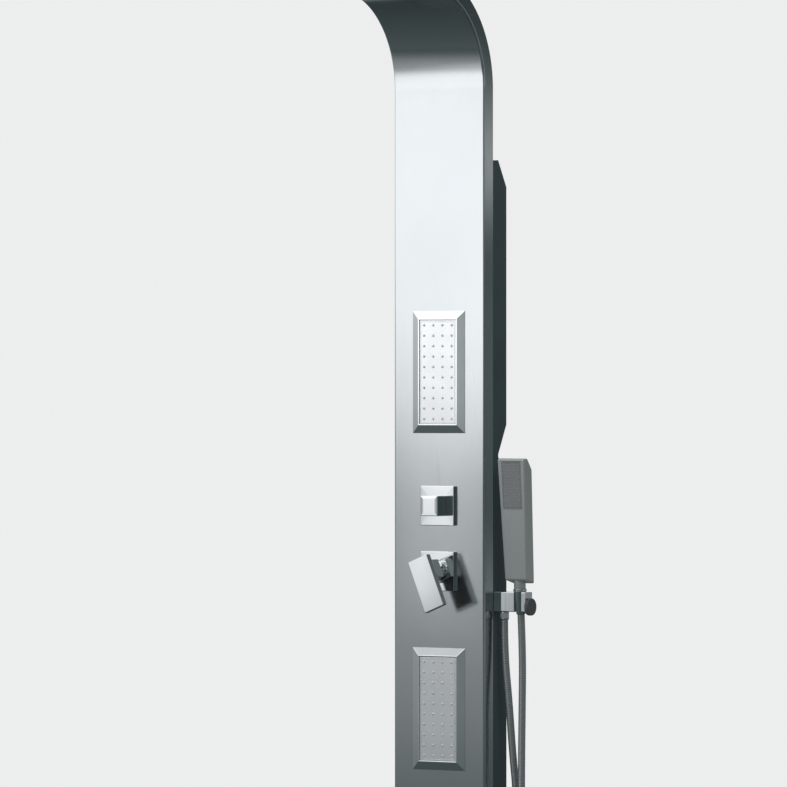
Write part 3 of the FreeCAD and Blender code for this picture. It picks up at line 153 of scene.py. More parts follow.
class Graph:
    """A short way to write a material's node graph on Object coordinates."""

    def __init__(self, name: str) -> None:
        """Start a material with one shader and the piece's own coordinates.

        Args:
            name: The material's name.
        """
        self.material = bpy.data.materials.new(name)
        self.material.use_nodes = True
        self.tree = self.material.node_tree
        self.shader = next(node for node in self.tree.nodes if node.type == "BSDF_PRINCIPLED")
        self.place = self.tree.nodes.new("ShaderNodeTexCoord").outputs["Object"]

    def noise(self, scale: float, detail: float, stretch: Triple = (1.0, 1.0, 1.0)) -> Socket:
        """Soft noise between 0 and 1.

        Args:
            scale: Cells per metre.
            detail: Octaves of finer noise.
            stretch: Factors per axis; a small one draws the noise out along it.

        Returns:
            The noise value.
        """
        spread = added(self.tree, "ShaderNodeMapping", {"Vector": self.place, "Scale": stretch})
        return added(self.tree, "ShaderNodeTexNoise", {
            "Scale": scale, "Detail": detail, "Vector": spread.outputs["Vector"]}).outputs[0]

    def cells(self, scale: float) -> Socket:
        """Distance to the nearest of so many scattered points per metre, for a grain."""
        return added(self.tree, "ShaderNodeTexVoronoi", {
            "Scale": scale, "Vector": self.place}).outputs["Distance"]

    def span(self, value: Socket, low: float, high: float, start: float = 0.3,
             end: float = 0.7) -> Socket:
        """Map a value to a range.

        Args:
            value: What is mapped.
            low: Result at start.
            high: Result at end.
            start: Input that gives low.
            end: Input that gives high.

        Returns:
            The mapped value.
        """
        return added(self.tree, "ShaderNodeMapRange", {
            "From Min": start, "From Max": end, "To Min": low, "To Max": high,
            "Value": value}).outputs["Result"]

    def mottled(self, value: Socket, colour: Triple, first: float, last: float,
                start: float = 0.3, end: float = 0.7) -> Socket:
        """A colour that runs from one factor of its strength to another.

        Args:
            value: What decides.
            colour: The colour.
            first: Factor at start.
            last: Factor at end.
            start: Value that gives the first.
            end: Value that gives the last.

        Returns:
            The mixed colour.
        """
        ends = [tuple(min(1.0, part * factor) for part in colour) for factor in (first, last)]
        share = self.span(value, 0.0, 1.0, start, end)
        return ramp(self.tree, share, ((0.0, ends[0]), (1.0, ends[1])))

    def bump(self, height: Socket, depth: float, strength: float,
             under: Socket | None = None) -> Socket:
        """A bumped normal.

        Args:
            height: 0 to 1.
            depth: Height of 1 in metres.
            strength: Share of the effect.
            under: A normal that this one lies on.

        Returns:
            The normal.
        """
        given = {"Strength": strength, "Distance": depth, "Height": height}
        if under is not None:
            given["Normal"] = under
        return added(self.tree, "ShaderNodeBump", given).outputs["Normal"]

    def wire(self, **inputs: Socket | Triple | float) -> None:
        """Fill the shader's inputs; underscores stand for spaces."""
        for label, value in inputs.items():
            fill(self.tree, self.shader.inputs[label.replace("_", " ")], value)


# --------------------------------------------------------------------------- finishes
@dataclass(frozen=True)
class Finish:
    """A finish: its name, the record's slot and a main colour. Subclasses write the graph."""

    name: str
    slot: str
    colour: Triple

    def write(self, graph: Graph) -> None:
        """Fill the material's graph."""
        raise NotImplementedError

    def material(self) -> bpy.types.Material:
        """Make the finish's material once.

        Returns:
            The material.
        """
        known = bpy.data.materials.get(self.name)
        if known is None:
            graph = Graph(self.name)
            self.write(graph)
            known = graph.material
        return known


@dataclass(frozen=True)
class SatinSteel(Finish):
    """Rolled sheet with a soft polish: long fine lines and faint cloudiness."""

    roughness: float = 0.16
    lines: Triple = (900.0, 900.0, 14.0)

    def write(self, graph: Graph) -> None:
        """Fill the material's graph."""
        cloud = graph.noise(7.0, 4.0)
        streak = graph.noise(1.0, 2.0, self.lines)
        graph.wire(
            Base_Color=graph.mottled(cloud, self.colour, 0.975, 1.02), Metallic=1.0,
            Roughness=graph.span(streak, self.roughness - 0.025, self.roughness + 0.03),
            Normal=graph.bump(streak, 2.0e-6, 0.5, graph.bump(cloud, 2.0e-4, 0.25)))


@dataclass(frozen=True)
class PolishedMetal(Finish):
    """Plated or turned metal: bright, with a few soft marks."""

    roughness: float = 0.05
    marks: float = 0.03
    ripple: float = 3.0e-6

    def write(self, graph: Graph) -> None:
        """Fill the material's graph."""
        smear = graph.noise(38.0, 5.0)
        graph.wire(
            Base_Color=graph.mottled(smear, self.colour, 0.97, 1.0), Metallic=1.0,
            Roughness=graph.span(smear, self.roughness, self.roughness + self.marks),
            Normal=graph.bump(graph.noise(420.0, 2.0), self.ripple, 0.6))


@dataclass(frozen=True)
class PaintedMetal(Finish):
    """Baked paint on sheet: a faint orange peel and a soft sheen."""

    roughness: float = 0.38
    peel: float = 2.0e-5

    def write(self, graph: Graph) -> None:
        """Fill the material's graph."""
        cloud = graph.noise(9.0, 3.0)
        graph.wire(
            Base_Color=graph.mottled(cloud, self.colour, 0.9, 1.1), Metallic=0.0,
            Specular_IOR_Level=0.5,
            Roughness=graph.span(cloud, self.roughness - 0.04, self.roughness + 0.05),
            Normal=graph.bump(graph.noise(620.0, 2.0), self.peel, 0.5))


@dataclass(frozen=True)
class MouldedPlastic(Finish):
    """Moulded plastic: fine spark grain, slight clouding."""

    roughness: float = 0.42
    grain: float = 1.5e-5

    def write(self, graph: Graph) -> None:
        """Fill the material's graph."""
        cloud = graph.noise(26.0, 3.0)
        graph.wire(
            Base_Color=graph.mottled(cloud, self.colour, 0.93, 1.05), Metallic=0.0,
            Roughness=graph.span(cloud, self.roughness - 0.05, self.roughness + 0.06),
            Normal=graph.bump(graph.cells(1500.0), self.grain, 0.6))


@dataclass(frozen=True)
class SilverPlastic(Finish):
    """Plastic with metal flakes under a clear coat, as on a hand shower."""

    roughness: float = 0.3
    metallic: float = 0.55

    def write(self, graph: Graph) -> None:
        """Fill the material's graph."""
        cloud = graph.noise(18.0, 3.0)
        graph.wire(
            Base_Color=graph.mottled(graph.cells(2600.0), self.colour, 1.06, 0.94, 0.0, 0.9),
            Metallic=self.metallic, Coat_Weight=0.3, Coat_Roughness=0.12,
            Roughness=graph.span(cloud, self.roughness - 0.04, self.roughness + 0.05),
            Normal=graph.bump(cloud, 1.2e-5, 0.4))


@dataclass(frozen=True)
class HoseSkin(Finish):
    """A clear skin over a metal winding, darkest in each groove between turns: painted shade.
    """

    roughness: float = 0.26

    def write(self, graph: Graph) -> None:
        """Fill the material's graph."""
        run = added(graph.tree, "ShaderNodeAttribute", {}, attribute_name="along")
        turns = added(graph.tree, "ShaderNodeMath", {
            0: run.outputs["Fac"], 1: 2.0 * math.pi / (HOSE_PITCH * MM)}, operation="MULTIPLY")
        # The colour follows the tube's grooves and is darkest in each one: painted shade in the
        # grooves.
        wave = added(graph.tree, "ShaderNodeMath", {0: turns.outputs[0]}, operation="COSINE")
        smear = graph.noise(120.0, 3.0)
        graph.wire(
            Base_Color=graph.mottled(wave.outputs[0], self.colour, 0.62, 1.0, -1.0, 1.0),
            Metallic=0.75, Coat_Weight=0.35, Coat_Roughness=0.15,
            Roughness=graph.span(smear, self.roughness, self.roughness + 0.1),
            Normal=graph.bump(smear, 1.0e-5, 0.4))


class Finishes:
    """Every finish of the column, by what it covers."""

    PANEL = SatinSteel("panel_steel", "stainless_panel", (0.66, 0.675, 0.69))
    INNER_SHEET = SatinSteel("inner_sheet_steel", "stainless_panel", (0.50, 0.52, 0.54), 0.34)
    CHROME = PolishedMetal("bright_chrome", "chrome", (0.93, 0.94, 0.95))
    NOZZLE_PLATE = SilverPlastic("nozzle_plate_silver", "nozzle_plate",
                                 (0.97, 0.975, 0.985), 0.30, 0.85)
    NOZZLE = SilverPlastic("nozzle_rubber", "nozzle_plate", (0.78, 0.79, 0.81), 0.42, 0.6)
    SPRAY_NOZZLE = MouldedPlastic("spray_nozzle_rubber", "spray_face",
                                  (0.24, 0.25, 0.255), 0.5)
    CASING = PaintedMetal("casing_paint", "dark_casing", (0.029, 0.046, 0.048))
    HANDSET = SilverPlastic("handset_shell", "handset_grey", (0.37, 0.39, 0.385))
    SPRAY = MouldedPlastic("spray_face_plastic", "spray_face", (0.16, 0.17, 0.172), 0.36)
    HOSE = HoseSkin("hose_skin", "hose_silver", (0.44, 0.465, 0.47))
    KNOB = MouldedPlastic("knob_plastic", "knob_dark", (0.05, 0.054, 0.056), 0.34)
    BRASS = PolishedMetal("turned_brass", "brass", (0.78, 0.57, 0.28), 0.22, 0.08, 8.0e-6)
    WHITE = MouldedPlastic("white_plastic", "white_plastic", (0.80, 0.80, 0.78), 0.45)
    ZINC = PolishedMetal("zinc_plating", "zinc_steel", (0.62, 0.64, 0.66), 0.26, 0.1, 1.0e-5)
    CARTRIDGE = MouldedPlastic("cartridge_plastic", "cartridge", (0.22, 0.24, 0.27), 0.5)


# The finish that the solids of each slot take.
SOLID_FINISH: dict[str, Finish] = {finish.slot: finish for finish in (
    Finishes.INNER_SHEET, Finishes.CHROME, Finishes.NOZZLE_PLATE, Finishes.CASING,
    Finishes.HANDSET, Finishes.SPRAY, Finishes.HOSE, Finishes.KNOB, Finishes.BRASS,
    Finishes.WHITE, Finishes.ZINC, Finishes.CARTRIDGE)}


# ------------------------------------------------------------------------ mesh tools
def circle_points(radius: float, steps: int) -> list[tuple[float, float]]:
    """Points round a circle.

    Args:
        radius: Its radius.
        steps: How many.

    Returns:
        The points, counter-clockwise.
    """
    angles = [2.0 * math.pi * step / steps for step in range(steps)]
    return [(radius * math.cos(angle), radius * math.sin(angle)) for angle in angles]


def rounded_points(half_u: float, half_v: float, radius: float,
                   steps: int) -> list[tuple[float, float]]:
    """Points round a rectangle with rounded corners.

    Args:
        half_u: Half of the width.
        half_v: Half of the height.
        radius: Corner radius.
        steps: Edges in each corner.

    Returns:
        The points, counter-clockwise.
    """
    points = []
    for index, (side_u, side_v) in enumerate(((1, 1), (-1, 1), (-1, -1), (1, -1))):
        for step in range(steps + 1):
            angle = math.pi / 2 * (index + step / steps)
            points.append((side_u * (half_u - radius) + radius * math.cos(angle),
                           side_v * (half_v - radius) + radius * math.sin(angle)))
    return points


@dataclass(frozen=True)
class Seat:
    """A place on the column with its own right, up and out directions."""

    origin: Vector
    right: Vector
    up: Vector
    out: Vector

    def at(self, u: float, v: float, w: float) -> Vector:
        """A point, in metres.

        Args:
            u: Millimetres to the right.
            v: Millimetres up.
            w: Millimetres out of the surface.

        Returns:
            The point in the row frame.
        """
        return (self.origin + self.right * u + self.up * v + self.out * w) * MM

    def rectangle(self, half_u: float, half_v: float, level: float, radius: float,
                  steps: int, middle: float = 0.0) -> Loop:
        """A loop round a rectangle with rounded corners.

        Args:
            half_u: Half of the width.
            half_v: Half of the height.
            level: How far out.
            radius: Corner radius.
            steps: Edges in each corner.
            middle: How far up its middle is.

        Returns:
            The loop.
        """
        return [self.at(u, v + middle, level)
                for u, v in rounded_points(half_u, half_v, radius, steps)]

    def circle(self, reach: float, level: float, outline: Pairs) -> Loop:
        """A circle whose points are in step with an outline's.

        Args:
            reach: Its radius.
            level: How far out.
            outline: The points it keeps step with.

        Returns:
            The loop.
        """
        return [self.at(reach * u / math.hypot(u, v), reach * v / math.hypot(u, v), level)
                for u, v in outline]


def seat_at(origin: Triple, right: Triple = (1, 0, 0), up: Triple = (0, 1, 0),
            out: Triple = (0, 0, 1)) -> Seat:
    """A seat from plain numbers: its place, then its right, up and out."""
    return Seat(Vector(origin), Vector(right), Vector(up), Vector(out))


def front_seat(height: float, turn: float = 0.0) -> Seat:
    """A seat on the middle of the flat front.

    Args:
        height: Z of the seat.
        turn: Degrees that its up direction leans to the left.

    Returns:
        The seat.
    """
    angle = math.radians(turn)
    return seat_at((0.0, FACE_Y, height), (math.cos(angle), 0.0, math.sin(angle)),
                   (-math.sin(angle), 0.0, math.cos(angle)), (0.0, -1.0, 0.0))


def bar_seat() -> Seat:
    """The hand shower's own seat at its pivot: up along the bar, out of its front."""
    lean = math.radians(BAR_LEAN)
    return seat_at(BAR_PIVOT, (1, 0, 0), (0.0, -math.sin(lean), math.cos(lean)),
                   (0.0, -math.cos(lean), -math.sin(lean)))


def bar_axis_seat() -> Seat:
    """The same place with its out direction along the bar, for turned pieces."""
    seat = bar_seat()
    return Seat(seat.origin, seat.right, -seat.out, seat.up)


class Draft:
    """A mesh in the making, from loops of points that are joined by bands."""

    def __init__(self) -> None:
        """Start with nothing."""
        self.points: Loop = []
        self.faces: list[tuple[int, ...]] = []

    def stack(self, loops: Sequence[Loop], hollow: bool = False) -> "Draft":
        """Join loops in order, then close the ends or the last to the first.

        Args:
            loops: Loops with the same count of points.
            hollow: Join the last loop to the first, as round a window.

        Returns:
            The draft itself.
        """
        rings = []
        for loop in loops:
            rings.append(range(len(self.points), len(self.points) + len(loop)))
            self.points.extend(loop)
        pairs = list(zip(rings, rings[1:]))
        if hollow:
            pairs.append((rings[-1], rings[0]))
        for first, second in pairs:
            for index in range(len(first)):
                after = (index + 1) % len(first)
                self.faces.append((first[index], first[after], second[after], second[index]))
        if not hollow:
            self.faces.append(tuple(reversed(rings[0])))
            self.faces.append(tuple(rings[-1]))
        return self

    def finished(self, name: str, finish: Finish, sharp: float = 35.0) -> Piece:
        """Merge doubles, turn the faces outwards and make the object.

        Args:
            name: The piece's name.
            finish: Its finish.
            sharp: Degrees between faces past which an edge stays sharp.

        Returns:
            The object.
        """
        mesh = bpy.data.meshes.new(name)
        mesh.from_pydata([tuple(point) for point in self.points], [], self.faces)
        draft = bmesh.new()
        draft.from_mesh(mesh)
        bmesh.ops.remove_doubles(draft, verts=draft.verts, dist=1.0e-6)
        bmesh.ops.recalc_face_normals(draft, faces=draft.faces)
        draft.to_mesh(mesh)
        draft.free()
        return weighed(dressed(name, mesh, finish, sharp))

    def placed(self, name: str, finish: Finish, sharp: float, body: Bodies,
               *nodes: str) -> Piece:
        """Make the object and place it.

        Args:
            name: The piece's name.
            finish: Its finish.
            sharp: Degrees between faces past which an edge stays sharp.
            body: The body it moves with.
            nodes: The solids it stands for.

        Returns:
            The piece.
        """
        return placed(self.finished(name, finish, sharp), finish, body, *nodes)


def shown(name: str, data: bpy.types.ID) -> Piece:
    """Put data into the scene.

    Args:
        name: The object's name.
        data: Its mesh, curve, lamp or camera.

    Returns:
        The object.
    """
    item = bpy.data.objects.new(name, data)
    bpy.context.scene.collection.objects.link(item)
    return item


def dressed(name: str, mesh: Mesh, finish: Finish, sharp: float) -> Piece:
    """Give a mesh its finish and smooth faces and make its object.

    Args:
        name: The piece's name.
        mesh: Its mesh.
        finish: Its finish.
        sharp: Degrees between faces past which an edge stays sharp.

    Returns:
        The object.
    """
    mesh.materials.clear()
    mesh.materials.append(finish.material())
    for polygon in mesh.polygons:
        polygon.use_smooth = True
    mesh.set_sharp_from_angle(angle=math.radians(sharp))
    mesh.name = name
    return shown(name, mesh)


def evaluated(item: Piece) -> Mesh:
    """Read what an object's curve or modifiers give.

    Args:
        item: The object.

    Returns:
        A new mesh.
    """
    graph = bpy.context.evaluated_depsgraph_get()
    graph.update()
    return bpy.data.meshes.new_from_object(item.evaluated_get(graph))


def baked(piece: Piece) -> Piece:
    """Turn a piece's modifiers into its plain mesh.

    Args:
        piece: The piece.

    Returns:
        The piece.
    """
    mesh, old = evaluated(piece), piece.data
    piece.modifiers.clear()
    piece.data = mesh
    bpy.data.meshes.remove(old)
    mesh.name = piece.name
    return piece


def weighed(piece: Piece, keep_sharp: bool = True) -> Piece:
    """Let the large faces of a piece decide how its corners are shaded.

    Args:
        piece: The piece.
        keep_sharp: Whether its sharp edges stay sharp.

    Returns:
        The piece, its modifiers turned into its mesh.
    """
    weigh = piece.modifiers.new("weigh", "WEIGHTED_NORMAL")
    weigh.keep_sharp = keep_sharp
    weigh.mode = "FACE_AREA"
    return baked(piece)


def eased(piece: Piece, width: float, steps: int) -> Piece:
    """Round a piece's sharp edges.

    Args:
        piece: The piece.
        width: Width of the rounding in millimetres.
        steps: Faces across it.

    Returns:
        The piece.
    """
    bevel = piece.modifiers.new("ease", "BEVEL")
    bevel.width = width * MM
    bevel.segments = steps
    bevel.limit_method = "ANGLE"
    bevel.angle_limit = math.radians(30.0)
    bevel.use_clamp_overlap = False
    return weighed(piece, False)


def carved(piece: Piece, block: Piece) -> Piece:
    """Take a block out of a piece.

    Args:
        piece: The piece.
        block: The block, which is used up.

    Returns:
        The piece.
    """
    cut = piece.modifiers.new("cut", "BOOLEAN")
    cut.operation = "DIFFERENCE"
    cut.solver = "EXACT"
    cut.object = block
    weighed(piece)
    bpy.data.objects.remove(block)
    return piece


def placed(piece: Piece, finish: Finish, body: Bodies, *nodes: str) -> Piece:
    """Let a piece ride on a body and stand for solids.

    Args:
        piece: The piece.
        finish: Its finish, which knows the record's slot; not used.
        body: The body it moves with.
        nodes: The solids it stands for.

    Returns:
        The piece.
    """
    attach(piece, body.value)
    if nodes:
        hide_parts(*nodes)
    faces = sum(len(polygon.vertices) - 2 for polygon in piece.data.polygons)
    log.info("%s: %d triangles on %s", piece.name, faces, body.value)
    return piece


def refined(node: str, finish: Finish, width: float) -> None:
    """Let a copy with whole flat faces and eased edges stand for a solid of the panel.

    Args:
        node: The solid.
        finish: Its finish.
        width: Width of the eased edges in millimetres.
    """
    mesh = frame["nodes"][node].data.copy()
    draft = bmesh.new()
    draft.from_mesh(mesh)
    bmesh.ops.remove_doubles(draft, verts=draft.verts, dist=2.0e-6)
    bmesh.ops.dissolve_limit(draft, angle_limit=math.radians(0.4), verts=draft.verts,
                             edges=draft.edges)
    draft.to_mesh(mesh)
    draft.free()
    piece = eased(dressed(node + "_eased", mesh, finish, 30.0), width, 2)
    placed(piece, finish, Bodies.PANEL, node)


def lathe(seat: Seat, profile: Pairs, steps: int,
          shape: Callable[[float, float, float], float] | None = None) -> Draft:
    """Turn a profile about a seat's out direction.

    Args:
        seat: Where it stands.
        profile: Radius and height of each point, from one end to the other.
        steps: Points in each ring.
        shape: Gives the radius at an angle, radius and height, if not round.

    Returns:
        The draft, closed at both ends.
    """
    loops = []
    for radius, height in profile:
        loop = []
        for step in range(steps):
            angle = 2.0 * math.pi * step / steps
            reach = shape(angle, radius, height) if shape else radius
            loop.append(seat.at(reach * math.cos(angle), reach * math.sin(angle), height))
        loops.append(loop)
    return Draft().stack(loops)


def nozzle_shape(radius: float, height: float, bore: float) -> Draft:
    """One spray nozzle with a rounded foot and a bore, upright on +Z, in millimetres.

    Args:
        radius: Radius at the foot.
        height: Height of the tip.
        bore: Radius of the hole.

    Returns:
        The draft.
    """
    profile = ((radius * 1.18, 0.0), (radius, height * 0.18), (radius * 0.78, height * 0.92),
               (radius * 0.62, height), (bore, height), (bore, height * 0.35))
    return lathe(seat_at((0, 0, 0)), profile, 12)


# ---------------------------------------------------------- rows made by geometry nodes
def field_tree() -> bpy.types.GeometryNodeTree:
    """A tree that sets one shape in columns and rows on a seat.

    Returns:
        The node group, with named inputs for counts, pitches, place, turn, shape
        and finish.
    """
    name = "rows_of_one_shape"
    known = bpy.data.node_groups.get(name)
    if known is not None:
        return known
    tree = bpy.data.node_groups.new(name, "GeometryNodeTree")
    for label, way, kind in (
            ("Geometry", "INPUT", "Geometry"), ("Columns", "INPUT", "Int"),
            ("Rows", "INPUT", "Int"), ("Width", "INPUT", "Float"),
            ("Height", "INPUT", "Float"), ("Place", "INPUT", "Vector"),
            ("Turn", "INPUT", "Vector"), ("Shape", "INPUT", "Object"),
            ("Finish", "INPUT", "Material"), ("Geometry", "OUTPUT", "Geometry")):
        tree.interface.new_socket(label, in_out=way, socket_type="NodeSocket" + kind)
    given = tree.nodes.new("NodeGroupInput").outputs
    grid = added(tree, "GeometryNodeMeshGrid", {
        "Size X": given["Width"], "Size Y": given["Height"],
        "Vertices X": given["Columns"], "Vertices Y": given["Rows"]})
    spots = added(tree, "GeometryNodeMeshToPoints", {"Mesh": grid.outputs["Mesh"]})
    source = added(tree, "GeometryNodeObjectInfo", {"Object": given["Shape"]})
    copies = added(tree, "GeometryNodeInstanceOnPoints", {
        "Points": spots.outputs["Points"], "Instance": source.outputs["Geometry"]})
    move = added(tree, "GeometryNodeTransform", {
        "Geometry": copies.outputs["Instances"], "Translation": given["Place"],
        "Rotation": given["Turn"]})
    real = added(tree, "GeometryNodeRealizeInstances", {"Geometry": move.outputs["Geometry"]})
    paint = added(tree, "GeometryNodeSetMaterial", {
        "Geometry": real.outputs["Geometry"], "Material": given["Finish"]})
    added(tree, "NodeGroupOutput", {"Geometry": paint.outputs["Geometry"]})
    return tree


@dataclass
class Rows:
    """One small shape repeated in columns and rows on a seat."""

    name: str
    seat: Seat
    level: float
    columns: int
    rows: int
    pitch_u: float
    pitch_v: float
    finish: Finish
    middle: float = 0.0

    def placed(self, shape: Draft, body: Bodies, *nodes: str) -> None:
        """Run the tree once, keep its result as a plain mesh and place it.

        Args:
            shape: The shape, upright on +Z about its own origin.
            body: The body that the piece moves with.
            nodes: The solids it stands for.
        """
        seed = shape.finished(self.name + "_seed", self.finish)
        host = shown(self.name, bpy.data.meshes.new(self.name))
        turn = Matrix((self.seat.right, self.seat.up, self.seat.out)).transposed().to_euler()
        tree = field_tree()
        repeat = host.modifiers.new("rows", "NODES")
        repeat.node_group = tree
        values = {
            "Columns": self.columns, "Rows": self.rows,
            "Width": self.pitch_u * (self.columns - 1) * MM,
            "Height": self.pitch_v * (self.rows - 1) * MM,
            "Place": self.seat.at(0.0, self.middle, self.level), "Turn": turn,
            "Shape": seed, "Finish": self.finish.material(),
        }
        for item in tree.interface.items_tree:
            if item.in_out == "INPUT" and item.name in values:
                repeat[item.identifier] = values[item.name]
        baked(host)
        bpy.data.objects.remove(seed)
        placed(host, self.finish, body, *nodes)


# ------------------------------------------------------------------------ studio
# Strengths of the studio's cards, from the floor up, in each direction.
CARD_HEIGHTS = (-1.20, -0.75, -0.60, -0.45, -0.34, -0.20, -0.09, 0.0, 0.055, 0.10, 0.30,
                0.50, 0.64, 0.76, 0.88, 1.10, 1.30, 1.50, 2.40)
CARDS = {
    "front": (0.05, 0.18, 0.28, 0.32, 0.335, 0.28, 0.30, 0.51, 0.73, 1.0, 1.32, 1.34,
              1.38, 1.38, 1.36, 0.62, 0.62, 1.25, 1.38),
    "right_front": (0.04, 0.08, 0.12, 0.12, 0.05, 0.03, 0.03, 0.05, 0.09, 0.14, 0.17, 0.13,
                    0.12, 0.12, 0.12, 0.12, 0.12, 0.12, 0.12),
    "near_right": (0.05, 0.12, 0.17, 0.19, 0.15, 0.10, 0.10, 0.18, 0.22, 0.25, 0.26, 0.25,
                   0.22, 0.20, 0.20, 0.20, 0.20, 0.20, 0.20),
    "left": (0.05, 0.15, 0.21, 0.27, 0.27, 0.27, 0.28, 0.28, 0.29, 0.29, 0.33, 0.50, 0.60,
             0.60, 0.60, 0.60, 0.60, 0.60, 0.60),
    "back_left": (0.20, 0.40, 0.50, 0.60, 0.65, 0.70, 0.75, 0.75, 0.75, 0.75, 0.80, 0.80,
                  0.80, 0.80, 0.80, 0.80, 0.80, 0.80, 0.80),
    "right_back": (0.05, 0.10, 0.14, 0.20, 0.25, 0.085, 0.10, 0.10, 0.105, 0.12, 0.12,
                   0.06, 0.52, 0.27, 0.055, 0.05, 0.05, 0.05, 0.05),
}
# Degrees to the left of straight in front at which each card stands.
CARD_TURNS = ((-60.0, "right_back"), (-40.0, "right_front"), (-9.0, "near_right"),
              (10.0, "front"), (60.0, "front"), (80.0, "left"), (112.0, "left"),
              (140.0, "back_left"), (165.0, "back_left"), (190.0, "right_back"),
              (300.0, "right_back"))
# The cards' colour by their strength: the dark ones are a little cooler.
CARD_STOPS = ((0.05, (0.72, 0.98, 1.0)), (0.9, (0.965, 0.99, 1.0)), (0.22, (0.90, 0.985, 1.0)))


def between(places: Sequence[float], values: Sequence[float], at: float) -> float:
    """The value at a place on a line through known ones.

    Args:
        places: The known places, in rising order.
        values: The value at each.
        at: The place.

    Returns:
        The value.
    """
    if at <= places[0]:
        return values[0]
    for index in range(1, len(places)):
        if at <= places[index]:
            share = (at - places[index - 1]) / (places[index] - places[index - 1])
            return values[index - 1] * (1.0 - share) + values[index] * share
    return values[-1]


